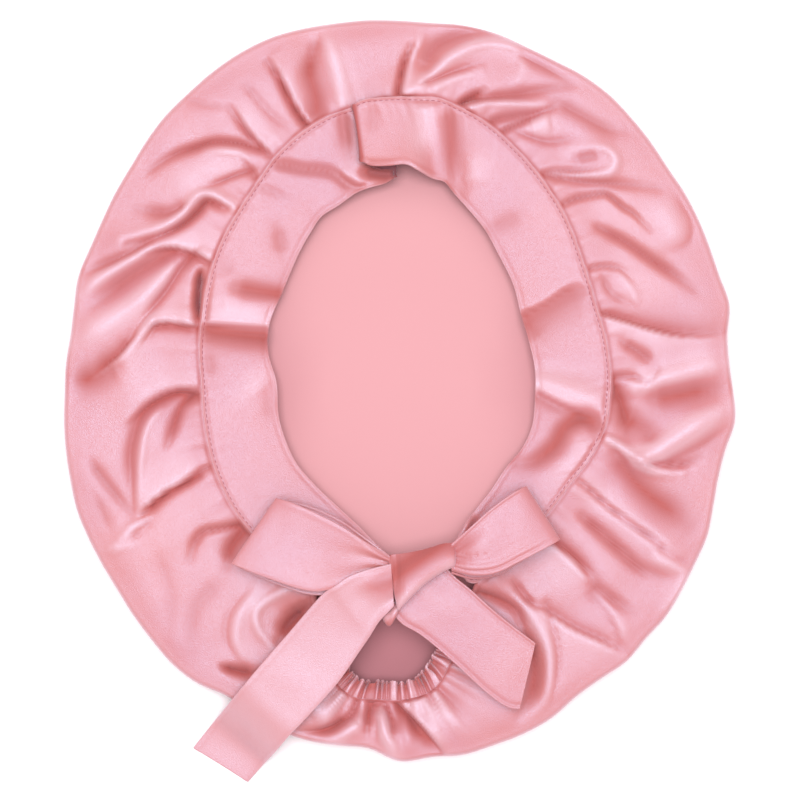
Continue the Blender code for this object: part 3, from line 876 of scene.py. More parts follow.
    def points(self) -> Rows:
        """Lays the band's points, puffed between a stitched groove and a folded free edge."""
        sections = self.sections()
        points, across = strip_points(sections, self.rows)
        width = strip_width(sections)[None, :]
        place = along((sections[:, :3] + sections[:, 3:]) / 2)[None, :]
        inward = across[:, None] * width
        outward = width - inward
        groove = self.seam_roll * bump(inward - 0.5, 0.6)
        groove = groove - self.groove * bump(inward - self.stitch_inset, 0.7)
        rolled = self.free_roll * bump(outward - self.edge_place, 0.5)
        rolled = rolled - self.free_dip * bump(outward - 1.9, 0.9)
        pucker = ripple(place + inward * 0.3, self.PUCKER) * np.exp(-inward / self.pucker_reach)
        puffed = self.puff * np.sin(math.pi * across[:, None])
        plan = points[..., :2].reshape(-1, 2)
        folds = FoldShape(finest=self.finest).relief(plan, self.FOLDS)[0]
        folds = folds.reshape(points.shape[:2]) * smoothstep(inward / self.flat_seam)
        shown = self.on_top(sections)
        folds = folds * shown
        # Painted shade inside the pleat's turns, and a painted highlight along both edges, go only
        # into the colour mark.
        blur = self.pleat_blur
        inside = self.painted_pleat_shade * (1 - np.convolve(shown, np.full(blur, 1 / blur), "same"))
        inside[:blur] = inside[-blur:] = 0.0
        for edge in (inward, outward):
            inside = inside - self.painted_edge_highlight * bump(edge - self.edge_place, self.edge_width)
        small = groove + rolled + pucker + puffed
        return raised(points, small + self.stand * folds, puffed + (self.stand - 1) * folds + inside)

    def on_top(self, sections: Rows) -> Rows:
        """Returns 1 for the sections that show from above, and 0 inside the pleat's turns."""
        right = self.steps * (len(self.RIGHT_END) + len(self.RIGHT) + len(self.PLEAT_TOP) - 1) + 1
        left = self.steps * (len(self.LEFT) + len(self.LEFT_END) - 1) + 1
        shown = np.ones(len(sections))
        shown[right:len(sections) - left] = 0
        return shown

    def build(self, finish: WovenSatin) -> bpy.types.Object:
        """Builds and dresses the band."""
        points = self.points()
        sheet = ClothSheet("band_cloth", points, self.thickness, refine=1)
        piece = sheet.build([finish.material()])
        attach(piece, "root")
        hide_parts("band")
        return piece

    def stitch_line(self) -> Rows:
        """Returns the line on the band's top face that its stitches follow."""
        points = self.points()
        sections = self.sections()
        across = strip_points(sections, self.rows)[1]
        inset = self.stitch_inset / strip_width(sections)
        share = np.interp(inset, across, np.arange(self.rows))
        low = np.floor(share).astype(int)
        pick = np.arange(points.shape[1])
        part = (share - low)[:, None]
        points = points[..., :3]
        line = points[low, pick] * (1 - part) + points[low + 1, pick] * part
        return line + [0.0, 0.0, self.thickness / 2]


@dataclass
class NapeCasing:
    """The elastic casing across the nape, drawn up in small ruches.

    Attributes:
        thickness: The cloth's thickness, in mm.
        steps: How many sections of the mesh stand for each given one.
        rows: How many rows of points run along it.
        ruche_length: How long each ruche is along the casing, in mm.
        channel: How far the elastic's channel stands up, in mm.
        flare: How far the ruches push the free edge out and in, in mm.
        stand: How much of the ruches' height stands in the cloth.
        painted_ruche_shading: How much more of it shows in their colour, as painted highlight and
            shade.
        painted_casing_shade: The depth by which the casing is painted darker, a painted shade for
            where it turns away from the light.
    """

    thickness: float = 1.0
    steps: int = 24
    rows: int = 14
    ruche_length: float = 4.2
    channel: float = 0.9
    flare: float = 0.9
    stand: float = 1.2
    painted_ruche_shading: float = 2.6
    painted_casing_shade: float = 0.6

    DRIFT = ((1.5, 23.0, 0.1), (1.0, 11.7, 0.4), (0.4, 6.3, 0.2))
    UNEVEN = ((0.4, 9.1, 0.3),)
    SECTIONS = (
        Section(-43.5, -109.0, 23.0, -35.0, -106.5, 24.0),
        Section(-40.5, -126.0, 19.5, -32.0, -121.5, 20.5),
        Section(-34.0, -144.5, 16.0, -26.5, -138.0, 17.0),
        Section(-24.5, -153.0, 15.0, -20.0, -144.5, 15.5),
        Section(-12.0, -154.5, 14.5, -11.0, -145.0, 15.0),
        Section(0.5, -155.0, 14.5, 0.0, -146.0, 15.0),
        Section(11.5, -152.5, 15.0, 8.0, -143.5, 16.0),
        Section(20.0, -146.5, 16.0, 14.0, -137.0, 17.0),
        Section(26.5, -134.0, 18.5, 18.0, -130.0, 19.5),
        Section(32.5, -115.5, 21.0, 24.5, -112.0, 22.0),
        Section(35.5, -103.0, 23.0, 27.5, -100.5, 24.0),
    )

    def points(self) -> Rows:
        """Lays the casing's points, with ruches that grow towards its free edge."""
        sections = smooth_rows(self.SECTIONS, self.steps)
        points, across = strip_points(sections, self.rows)
        place = along(sections[:, :3])[None, :]
        share = across[:, None]
        wave = np.sin(math.tau * (place + ripple(place, self.DRIFT)) / self.ruche_length)
        sharp = 1 - 0.5 * (1 - wave) ** 2
        channel = self.channel * np.sin(math.pi * np.clip(share * 1.25, 0.0, 1.0))
        frill = (0.5 + share ** 1.5) * sharp * (1 + ripple(place, self.UNEVEN))
        edge = sections[:, 3:5] - sections[:, :2]
        edge = edge / np.linalg.norm(edge, axis=1, keepdims=True)
        points[..., :2] += edge[None] * (self.flare * share ** 3 * np.sin(wave * 1.5))[..., None]
        # The colour mark gets the ruches more strongly, as painted highlight and shade, and is
        # lowered all over as painted shade.
        return raised(points, channel + self.stand * frill, channel - self.painted_ruche_shading * frill + self.painted_casing_shade)

    def build(self, finish: WovenSatin) -> bpy.types.Object:
        """Builds and dresses the casing."""
        sheet = ClothSheet("nape_casing_cloth", self.points(), self.thickness, refine=1)
        piece = sheet.build([finish.material()])
        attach(piece, "root")
        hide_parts("nape_casing")
        return piece


# ---------------------------------------------------------------- the pouch


@dataclass
class Crown:
    """The gathered pouch: the folded skirt, the soft rim and the patch that it lies on.

    Attributes:
        band: The band that the skirt is sewn to.
        casing: The casing that the skirt is sewn to at the nape.
        thickness: The cloth's thickness, in mm.
        columns: How many columns of points stand round the pouch.
        skirt_rows: How many rows of points lead from the seam to the outline.
        turn_rows: How many of them turn under at the outline.
        fan: Over how many columns each side the columns' directions are evened out.
        pole_x: The X of the point that the outline's radii start from, in mm.
        pole_y: Its Y, in mm.
        seam_rise: How far from the seam the skirt has got to its own height, in mm.
        crest_place: Where the skirt stands highest, as a share of its width.
        crest_rise: How far it stands up there, in mm.
        wide: The width from which it stands up fully, in mm.
        rim_level: The height of the outline, in mm.
        turn_width: How wide the turn at the outline is, in mm.
        turn_height: How high it is, in mm.
        slope_width: How wide the slope down to it is, in mm.
        slope_height: How high that slope is, in mm.
        tuck: How far the skirt goes in under the band, as a share of the band's width.
        painted_rim_highlight: How much paler the outline is painted, a painted highlight given as
            the fold height that is as pale.
        stand: How much of the folds' height stands in the cloth. Their painted shade and
            highlight have all of it.
        painted_seam_shade: The depth that the seam is marked with, a painted shade that makes it a
            darker line.
        drop: How far the skirt lies below the band that it is sewn to, in mm.
        fade_seam: How far from the seam the folds have their full height, in mm.
        fade_rim: How far from the outline they start to get lower, in mm.
        rim_share: How much of their height is left at the outline.
        level_rows: Over how many rows the folds' average is taken, to be levelled out.
        level_columns: Over how many columns it is.
        rim_step: The angle between the given radii, in degrees.
        gather_reach: How far from the seam the small gathers reach, in mm.
        nape_reach: How far the deeper gathers at the nape reach, in mm.
        nape_y: The Y from which those start, in mm.
        nape_x: How far to each side they go, in mm.
        average_reach: How far from the seam the folds are levelled fully, in mm.
        nape_shade: The painted shade behind the bow, as the depth that the inner floor is marked
            with.
        side_shade: The painted shade beside the band, as the depth that it is marked with.
        shade_y: The Y from which the floor is darker behind the bow, in mm.
        shade_x: How far from its middle it gets darker to each side, in mm.
        shade_width: Over how many mm both come in.
    """

    band: Band
    casing: NapeCasing
    thickness: float = 1.1
    columns: int = 576
    skirt_rows: int = 61
    turn_rows: int = 7
    fan: int = 32
    pole_x: float = 0.0
    pole_y: float = 5.5
    seam_rise: float = 20.0
    crest_place: float = 0.45
    crest_rise: float = 1.2
    wide: float = 60.0
    rim_level: float = 13.0
    turn_width: float = 2.2
    turn_height: float = 4.0
    slope_width: float = 18.0
    slope_height: float = 1.5
    tuck: float = 0.08
    painted_rim_highlight: float = 1.2
    stand: float = 0.9
    painted_seam_shade: float = 3.5
    drop: float = 1.25
    fade_seam: float = 2.0
    fade_rim: float = 10.0
    rim_share: float = 0.7
    level_rows: float = 14.0
    level_columns: float = 18.0
    rim_step: float = 5.0
    gather_reach: float = 10.0
    nape_reach: float = 18.0
    nape_y: float = -100.0
    nape_x: float = 52.0
    average_reach: float = 20.0
    nape_shade: float = 2.3
    side_shade: float = 0.9
    shade_y: float = -86.0
    shade_x: float = 42.0
    shade_width: float = 24.0

    GATHERS = ((0.24, 6.1, 0.0), (0.26, 9.7, 0.3), (0.26, 14.9, 0.7))
    NAPE_GATHERS = ((0.8, 5.3, 0.2), (0.7, 7.9, 0.6), (0.5, 11.7, 0.1))
    SWELL_ACROSS = ((0.35, 47.0, 0.2), (0.15, 31.0, 0.5))
    SWELL_ALONG = ((0.35, 53.0, 0.6), (0.15, 27.0, 0.1))
    RIM_RADII = (
        173.5, 172.0, 173.0, 177.5, 177.0, 178.0, 179.5, 181.0, 182.0, 184.5, 187.0, 189.5,
        190.5, 190.5, 191.5, 193.5, 194.0, 193.0, 193.5, 194.5, 195.0, 196.0, 196.5, 195.5,
        193.5, 191.0, 189.0, 186.0, 183.0, 181.0, 179.0, 178.0, 178.0, 175.5, 174.0, 174.5,
        174.5, 175.5, 176.5, 177.5, 179.0, 179.0, 179.0, 179.5, 181.0, 182.5, 184.5, 184.5,
        182.0, 183.5, 187.0, 187.5, 186.5, 186.0, 192.0, 190.5, 191.5, 190.0, 189.0, 187.0,
        183.0, 182.0, 183.0, 181.0, 181.0, 179.0, 177.5, 176.5, 173.5, 171.5, 172.0, 175.0,
    )
    UNDER_RIM = ((0.6, 10.0), (1.8, 8.0), (4.0, 6.0), (8.0, 3.9), (13.0, 1.9))
    FLOOR = ((0.88, 0.6), (0.74, 1.0), (0.63, 5.0), (0.55, 11.0), (0.48, 13.0), (0.41, 12.5),
             (0.32, 9.5), (0.22, 7.5), (0.12, 6.6), (0.04, 6.4))
    FOLDS = (
        # right, above the middle
        Fold(((83, 102), (91, 106), (99, 108), (106, 109), (110, 107), (116, 102), (121, 99),
              (126, 94), (130, 90)), -3.2, 0.0, 1.1, 1.1),
        Fold(((71, 119), (83, 117), (99, 115), (115, 114), (133, 112)), -3.6, 0.0, 1.5, 2.6),
        Fold(((75, 120), (83, 121), (94, 121), (104, 123)), -2.6, 0.0, 1.0, 1.4),
        Fold(((93, 127), (103, 129)), -2.2, 0.0, 2.2, 3.0),
        Fold(((77, 119), (93, 118), (107, 119), (112, 125), (110, 130), (103, 133), (89, 132)),
             1.8, 0.0, 1.4, 1.6),
        Fold(((104, 91), (117, 84), (130, 75), (141, 68), (152, 60)), -4.0, 0.0, 2.0, 2.8),
        Fold(((135, 103), (142, 92), (138, 84)), 1.3, 0.0, 5.0, 5.0),
        Fold(((146, 105), (152, 94), (150, 83), (138, 78)), -1.1, 0.0, 2.2, 2.2),
        Fold(((96, 69), (104, 71), (114, 70), (120, 65)), -2.2, 0.0, 1.0, 1.2),
        Fold(((106, 64), (110, 57), (122, 50)), -1.6, 0.0, 2.0, 2.0),
        Fold(((114, 68), (121, 58), (123, 51)), 1.0, 0.0, 1.6, 1.6),
        Fold(((104, 45), (115, 42), (128, 38), (146, 34), (169, 34)), 1.6, 3.8, 1.4, 9.0),
        # right, below the middle
        Fold(((117, 31), (125, 26), (131, 21)), -3.4, 0.0, 2.2, 3.0),
        Fold(((109, 13), (120, 14), (129, 11), (134, 17)), -2.4, 0.0, 1.0, 1.2),
        Fold(((133, 2), (146, 4), (156, 6), (172, 8)), -4.4, 0.0, 6.0, 6.0),
        Fold(((123, 9), (138, 13), (156, 18), (169, 21)), 3.2, 0.0, 2.5, 4.0),
        Fold(((111, 10), (115, 0), (119, -15)), -5.0, 0.0, 2.4, 4.5),
        Fold(((119, -9), (128, -14), (131, -22)), -3.0, 0.0, 6.0, 6.0),
        Fold(((122, -31), (138, -22), (156, -10), (173, -1)), 3.6, 0.0, 3.5, 4.0),
        Fold(((106, -17), (116, -24), (125, -30), (133, -35), (147, -36)), 3.2, 0.0, 1.1, 1.3),
        Fold(((128, -30), (135, -32), (146, -32), (155, -29)), -3.4, 0.0, 1.3, 1.8),
        Fold(((138, -31), (156, -23), (169, -14)), -1.6, 0.0, 3.0, 4.0),
        Fold(((113, -27), (120, -38), (130, -48), (142, -57), (151, -64)), -4.4, 0.0, 4.0, 8.0),
        Fold(((92, -39), (104, -50), (115, -59), (125, -66), (133, -72), (140, -79), (150, -83)),
             1.6, 0.0, 3.0, 3.0),
        Fold(((92, -39), (104, -50), (115, -59), (125, -66), (133, -72), (140, -79), (150, -83)),
             -3.6, 0.0, 1.0, 1.5),
        Fold(((96, -60), (104, -67), (115, -77), (125, -86), (136, -91)), -4.0, 0.0, 2.4, 2.6),
        Fold(((133, -81), (147, -88), (145, -98), (137, -108)), 1.6, 0.0, 1.5, 1.5),
        Fold(((77, -73), (88, -81), (99, -93)), 2.0, 4.5, 2.4, 2.6),
        Fold(((100, -95), (109, -101), (121, -109)), -3.2, 0.0, 2.2, 2.6),
        Fold(((75, -109), (89, -118), (104, -125), (118, -132)), 1.8, 2.2, 4.0, 1.5),
        Fold(((99, -100), (108, -110), (116, -128)), -1.6, 0.0, 1.8, 2.0),
        Fold(((104, -102), (113, -114), (118, -126)), 1.5, 0.0, 1.6, 2.0),
        # below, right of the nape
        Fold(((60, -96), (68, -109), (76, -124), (78, -138), (75, -155), (65, -166)),
             1.8, 0.0, 1.8, 2.2),
        Fold(((66, -124), (70, -136), (69, -150), (63, -161)), -4.4, 0.0, 4.0, 4.0),
        Fold(((76, -104), (81, -124), (82, -139), (79, -155)), -1.8, 0.0, 1.5, 1.6),
        Fold(((60, -94), (65, -101), (71, -106)), -5.0, 0.0, 1.5, 1.5),
        Fold(((41, -98), (51, -102), (60, -108), (64, -118)), -4.4, 0.0, 2.0, 2.2),
        Fold(((1, -157), (10, -165), (17, -173), (24, -182)), 2.2, -4.0, 3.0, 4.0),
        Fold(((0, -157), (5, -165), (13, -176)), -4.0, 0.0, 1.6, 2.6),
        Fold(((6, -154), (16, -158), (27, -166)), 2.0, 0.0, 2.5, 3.0),
        # below, left of the nape
        Fold(((-11, -160), (-7, -173), (-1, -187)), 3.4, 0.0, 1.6, 2.4),
        Fold(((-8, -157), (-4, -166), (-4, -173)), -4.6, 0.0, 1.1, 1.5),
        Fold(((-14, -156), (-16, -162), (-17, -169)), -5.0, 0.0, 1.6, 2.0),
        Fold(((-22, -155), (-27, -164), (-41, -170), (-52, -171)), -3.4, 0.0, 1.4, 1.4),
        Fold(((-28, -150), (-38, -157), (-47, -164)), 2.6, 0.0, 4.0, 4.0),
        Fold(((-22, -166), (-31, -174), (-43, -177)), 2.4, 0.0, 2.0, 2.0),
        Fold(((-29, -164), (-36, -170), (-46, -172)), -3.4, 0.0, 2.0, 2.0),
        Fold(((-91, -138), (-83, -140), (-76, -141)), -7.0, 0.0, 1.5, 3.2),
        Fold(((-51, -108), (-57, -114), (-62, -122)), -8.0, 0.0, 3.0, 3.2),
        Fold(((-57, -96), (-69, -102), (-75, -109), (-73, -119), (-65, -128)), 2.0, 0.0, 1.2, 1.5),
        Fold(((-80, -98), (-89, -110), (-90, -124), (-83, -136)), -1.2, 0.0, 2.0, 2.0),
        Fold(((-75, -98), (-83, -109), (-85, -124), (-79, -135)), 1.6, 0.0, 2.2, 2.5),
        Fold(((-96, -95), (-107, -108), (-109, -129)), -1.2, 0.0, 4.0, 4.0),
        Fold(((-125, -82), (-119, -103), (-122, -124)), -0.8, 0.0, 4.0, 4.0),
        # left, below the middle
        Fold(((-80, -64), (-87, -74), (-90, -84)), -5.0, 0.0, 4.0, 3.0),
        Fold(((-81, -63), (-92, -65), (-102, -67), (-107, -73), (-109, -80)), -3.8, 0.0, 1.2, 2.4),
        Fold(((-132, -60), (-139, -65), (-147, -73)), 2.0, 0.0, 1.2, 1.4),
        Fold(((-130, -62), (-136, -67), (-143, -74)), -1.6, 0.0, 1.2, 1.4),
        Fold(((-158, -51), (-151, -66)), -1.2, 0.0, 4.0, 4.0),
        Fold(((-138, -72), (-146, -75), (-156, -76)), 1.4, 0.0, 1.2, 1.2),
        Fold(((-160, -32), (-151, -44), (-140, -57)), -2.2, 0.0, 2.2, 2.2),
        Fold(((-98, -33), (-104, -35), (-111, -39)), -2.6, 0.0, 1.0, 1.0),
        Fold(((-106, -36), (-122, -45), (-130, -51), (-135, -56)), 2.0, 7.5, 0.9, 2.4),
        Fold(((-107, 5), (-114, -2), (-118, -13), (-121, -22)), -4.2, 0.0, 2.2, 2.2),
        Fold(((-125, -3), (-132, -14), (-135, -32), (-136, -52)), 1.6, 0.0, 1.2, 1.2),
        Fold(((-110, 7), (-123, 4), (-134, -5), (-140, -23), (-140, -39), (-139, -55)),
             -3.2, 0.0, 2.6, 3.0),
        Fold(((-104, 6), (-115, 8), (-129, 2), (-140, -7)), 2.0, 3.4, 4.0, 3.0),
        Fold(((-148, 18), (-160, 12), (-171, 13)), -3.8, 0.0, 5.0, 7.0),
        Fold(((-139, 31), (-146, 23), (-159, 13)), 1.8, -3.6, 4.0, 6.0),
        # left, above the middle
        Fold(((-106, 41), (-119, 43), (-128, 42), (-132, 37)), 2.6, 4.4, 3.0, 2.6),
        Fold(((-127, 45), (-133, 39), (-139, 30)), 1.8, 0.0, 1.5, 1.6),
        Fold(((-104, 67), (-105, 54), (-104, 41)), -12.0, 0.0, 1.4, 2.2),
        Fold(((-107, 78), (-114, 70), (-122, 58), (-130, 48), (-138, 38)), -3.6, 0.0, 2.4, 2.4),
        Fold(((-115, 74), (-131, 57), (-152, 42), (-170, 31)), 2.8, 0.0, 2.8, 4.5),
        Fold(((-119, 78), (-135, 69), (-148, 60), (-160, 51)), -3.6, 0.0, 3.5, 4.5),
        Fold(((-97, 74), (-106, 79), (-119, 82), (-131, 80)), 2.8, 3.2, 2.4, 4.0),
        Fold(((-130, 80), (-143, 73), (-157, 64), (-166, 56)), 3.0, 0.0, 1.6, 2.4),
        Fold(((-130, 84), (-145, 76), (-165, 68)), -3.6, 0.0, 1.5, 2.8),
        Fold(((-85, 100), (-92, 105), (-101, 109), (-108, 105), (-114, 98), (-125, 91), (-145, 85)),
             3.2, 0.0, 1.2, 2.0),
        Fold(((-91, 102), (-100, 105), (-105, 100), (-113, 93), (-125, 87), (-141, 83)),
             -6.0, 0.0, 2.0, 1.8),
        Fold(((-112, 103), (-122, 99), (-135, 101)), -3.4, 0.0, 2.8, 3.0),
        Fold(((-86, 123), (-104, 120), (-122, 109)), 1.2, 0.0, 5.0, 5.0),
        Fold(((-77, 121), (-87, 118), (-101, 112)), -2.8, 0.0, 1.0, 1.4),
        Fold(((-74, 116), (-78, 122), (-83, 128)), -2.6, 0.0, 1.0, 1.2),
        Fold(((-78, 125), (-84, 130), (-92, 131), (-101, 132)), 1.6, 0.0, 1.1, 1.1),
        Fold(((-74, 132), (-83, 135), (-96, 136), (-107, 133), (-118, 129), (-129, 122)),
             -4.6, 0.0, 1.4, 2.2),
        Fold(((-67, 131), (-75, 139), (-81, 147), (-86, 154)), 1.6, 3.8, 1.1, 1.6),
        Fold(((-112, 159), (-101, 155), (-87, 154)), -1.0, 0.0, 1.8, 1.8),
        # above
        Fold(((-80, 165), (-69, 152), (-59, 143)), -1.4, 0.0, 2.0, 2.5),
        Fold(((-46, 145), (-52, 153), (-57, 162), (-61, 170), (-67, 179)), 1.8, 6.5, 1.1, 1.3),
        Fold(((-44, 148), (-44, 160), (-47, 173), (-44, 184)), -4.4, 0.0, 6.0, 6.0),
        Fold(((-29, 153), (-32, 170), (-36, 183), (-40, 194)), 2.6, 0.0, 3.0, 2.6),
        Fold(((-47, 173), (-46, 182), (-43, 191)), -1.6, 0.0, 2.0, 2.0),
        Fold(((-1, 158), (0, 167), (2, 176), (6, 186)), -6.5, 0.0, 1.2, 1.5),
        Fold(((1, 158), (4, 170), (6, 180), (10, 188), (11, 194)), 2.0, 0.0, 1.0, 1.2),
        Fold(((13, 177), (20, 187), (36, 193), (52, 191)), -3.2, 0.0, 5.0, 3.0),
        Fold(((60, 182), (73, 176), (89, 167)), -2.0, 0.0, 2.5, 2.5),
        Fold(((4, 161), (15, 169), (27, 180), (43, 187), (56, 186), (64, 178), (62, 169)),
             2.8, 0.0, 1.8, 2.0),
        Fold(((12, 166), (24, 171), (41, 177)), -2.8, 0.0, 1.6, 2.4),
        Fold(((16, 162), (26, 168), (41, 173)), 2.0, 0.0, 1.8, 1.8),
        Fold(((30, 155), (37, 159), (43, 163)), -5.5, 0.0, 1.1, 1.4),
        Fold(((34, 157), (47, 159), (63, 161), (86, 165)), -4.0, 0.0, 1.8, 3.2),
        Fold(((33, 152), (44, 156), (58, 156), (76, 155)), 2.2, 0.0, 1.2, 1.5),
        Fold(((46, 146), (53, 148), (65, 150), (77, 153)), -3.6, 0.0, 1.8, 2.4),
        Fold(((53, 141), (61, 145), (69, 149), (80, 154)), -3.6, 0.0, 1.0, 1.2),
        Fold(((68, 145), (79, 147)), 2.0, 0.0, 4.0, 4.0),
        Fold(((63, 140), (77, 136), (90, 138)), -2.0, 0.0, 1.8, 2.0),
        Fold(((83, 156), (94, 150), (107, 143), (116, 142)), -2.4, 0.0, 3.5, 4.0),
    )

    def seam_sections(self, steps: int = 8) -> Rows:
        """Returns the closed line of sections that the skirt is gathered to."""
        casing = smooth_rows(self.casing.SECTIONS, steps)
        return np.concatenate([self.band.sewn_sections(steps), casing])

    def columns_on_seam(self) -> Rows:
        """Returns the seam's sections at equal steps, one for each column of the skirt."""
        curve = self.seam_sections()
        looped = np.concatenate([curve, curve[:1]])
        places = along(looped)
        wanted = np.linspace(0.0, places[-1], self.columns, endpoint=False)
        return np.stack([np.interp(wanted, places, looped[:, k]) for k in range(6)], axis=1)

    def rim_radius(self, angles: Rows) -> Rows:
        """Returns the outline's radius round the pole at these angles, in degrees."""
        fine = 5
        table = smooth_rows([[radius] for radius in self.RIM_RADII], fine, closed=True)[:, 0]
        at = np.arange(len(table)) * (self.rim_step / fine)
        return np.interp(angles % 360.0, np.append(at, 360.0), np.append(table, table[0]))

    def spread_angles(self, seam: Rows) -> Rows:
        """Returns the angle of each column's rim point, so that the columns fan evenly."""
        angle = np.degrees(np.arctan2(seam[:, 1] - self.pole_y, seam[:, 0] - self.pole_x))
        even = np.linspace(0.0, 360.0, self.columns, endpoint=False)
        lead = np.unwrap(angle, period=360.0) - even
        shifts = range(-self.fan, self.fan + 1)
        return even + np.mean([np.roll(lead, shift) for shift in shifts], axis=0)

    def relief(self, xy: Rows, away: Rows, from_rim: Rows,
               place: Rows) -> tuple[Rows, Rows, Rows]:
        """Works out the cloth's whole relief: its folds, its gathers and its broad swells.

        Args:
            xy: The points in plan.
            away: Their distance from the seam.
            from_rim: Their distance from the outline.
            place: The length along the seam to the place nearest to each of them.

        Returns:
            Each point's height in the folds, its broad swell, and its shift in X and Y.
        """
        near_rim = self.rim_share + (1 - self.rim_share) * smoothstep(from_rim / self.fade_rim)
        fade = smoothstep(away / self.fade_seam) * near_rim
        rise, shift = FoldShape().relief(xy, self.FOLDS)
        rise -= self.average(rise) * smoothstep(away / self.average_reach)
        gathers = ripple(place, self.GATHERS) * np.exp(-away / self.gather_reach)
        nape = smoothstep((self.nape_y - xy[:, 1]) / 25.0)
        nape = nape * smoothstep((self.nape_x - np.abs(xy[:, 0])) / 15.0)
        drawn = nape * np.exp(-(away / self.nape_reach) ** 1.5)
        gathers += ripple(place, self.NAPE_GATHERS) * drawn
        broad = ripple(xy[:, 0] + 0.6 * xy[:, 1], self.SWELL_ACROSS)
        broad += ripple(xy[:, 1] - 0.4 * xy[:, 0], self.SWELL_ALONG)
        rise = rise * fade + gathers * smoothstep(away / 2.0) * smoothstep(from_rim / 12.0)
        return rise, broad * fade, shift * (fade * smoothstep(from_rim / 6.0))[:, None]

    def average(self, rise: Rows) -> Rows:
        """Returns the broad average of the folds, which stand on an even skirt without it."""
        grid = rise.reshape(-1, self.columns)
        down = np.subtract.outer(np.arange(len(grid)), np.arange(len(grid)))
        down = bump(down, self.level_rows)
        down /= down.sum(axis=1, keepdims=True)
        around = np.abs(np.subtract.outer(np.arange(self.columns), np.arange(self.columns)))
        around = bump(np.minimum(around, self.columns - around), self.level_columns)
        around /= around.sum(axis=1, keepdims=True)
        return (down @ grid @ around).ravel()

    def crest(self, away: Rows, from_rim: Rows) -> Rows:
        """Returns how far the skirt stands above its rim, between the seam and the outline."""
        width = away + from_rim
        climb = smoothstep(away / width / self.crest_place)
        climb = climb * smoothstep(from_rim / width / (1 - self.crest_place))
        return self.crest_rise * climb * np.minimum(width / self.wide, 1.0)

    def skirt(self, xy: Rows, curve: Rows, rim_curve: Rows) -> Rows:
        """Lays points of the skirt, from the seam to the outline.

        The skirt slopes gently down to the outline, where it turns under with a small radius.

        Args:
            xy: The points in plan, before they are folded.
            curve: The seam's line.
            rim_curve: The outline.

        Returns:
            The points, each with its height in the folds after it.
        """
        away, start, place = nearest_on(xy, curve)
        from_rim = nearest_on(xy, rim_curve)[0]
        rise, broad, shift = self.relief(xy, away, from_rim, place)
        turn = np.clip(1 - from_rim / self.turn_width, 0.0, 1.0)
        slope = np.clip(1 - from_rim / self.slope_width, 0.0, 1.0)
        top = self.rim_level + self.turn_height * np.sqrt(1 - turn ** 2)
        top += self.slope_height * (1 - slope ** 2)
        start = start - self.drop
        height = start + (top - start) * smoothstep(away / self.seam_rise)
        height += self.crest(away, from_rim) + broad + self.stand * rise
        # A painted highlight along the outline and painted shade along the seam go only into the
        # colour mark.
        rise += self.painted_rim_highlight * bump(from_rim, self.turn_width)
        rise -= self.painted_seam_shade * bump(away, 1.1)
        return np.column_stack([xy + shift, height, rise])

    def points(self) -> Rows:
        """Lays the pouch's points, from under the band out to the rim and down to the floor."""
        sections = self.columns_on_seam()
        seam, free = sections[:, :3], sections[:, 3:]
        outward = np.radians(self.spread_angles(seam))
        pole = np.array([self.pole_x, self.pole_y])
        reach = self.rim_radius(np.degrees(outward))[:, None]
        heading = np.stack([np.cos(outward), np.sin(outward)], axis=1)
        rim = pole + heading * reach
        width = np.linalg.norm(rim - seam[:, :2], axis=1)[:, None]
        out = (rim - seam[:, :2]) / width

        under_band = [self.level_row(row[:, :2], row[:, 2] - self.drop)
                      for row in (seam + (free - seam) * self.tuck, seam)]
        curve, rim_curve = self.seam_sections(), np.column_stack([rim, np.zeros(len(rim))])
        shares = np.linspace(0.0, 1.0, self.skirt_rows)[1:, None, None]
        skirt = seam[:, :2] + out * (width - self.turn_width) * shares
        turns = np.radians(np.linspace(75.0, 0.0, self.turn_rows))[:, None, None]
        turned = rim - out * self.turn_width * (1 - np.cos(turns))
        upper = np.concatenate([skirt, turned])
        upper = self.skirt(upper.reshape(-1, 2), curve, rim_curve)
        upper = upper.reshape(-1, self.columns, 4)
        level = upper[-1, :, 2] / self.rim_level
        under = [self.level_row(rim - out * inset, height * level)
                 for inset, height in self.UNDER_RIM]
        floor = [self.shaded(self.level_row(pole + heading * reach * share, height))
                 for share, height in self.FLOOR]
        return np.concatenate([under_band, upper, under, floor])

    @staticmethod
    def level_row(xy: Rows, level: Rows | float) -> Rows:
        """Returns a row of unfolded points at a level, or each at its own."""
        return np.column_stack([xy, np.broadcast_to(level, len(xy)), np.zeros(len(xy))])

    def shaded(self, row: Rows) -> Rows:
        """Marks a row of the floor as deep where the band and the bow keep the light off it."""
        x, y = row[:, 0], row[:, 1]
        nape = smoothstep((self.shade_y - y) / self.shade_width)
        sides = smoothstep((np.abs(x - 2.0) - self.shade_x) / self.shade_width)
        sides = sides * bump(y - 14.0, 30.0)
        row[:, 3] = -self.nape_shade * nape - self.side_shade * sides
        return row

    def build(self, face: WovenSatin, back: SatinBack) -> bpy.types.Object:
        """Builds and dresses the pouch: satin outside and the satin's matte back inside."""
        sheet = ClothSheet("crown_cloth", self.points(), self.thickness, closed=True)
        piece = sheet.build([face.material(), back.material()])
        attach(piece, "root")
        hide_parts("crown")
        return piece


# ---------------------------------------------------------------- the bow


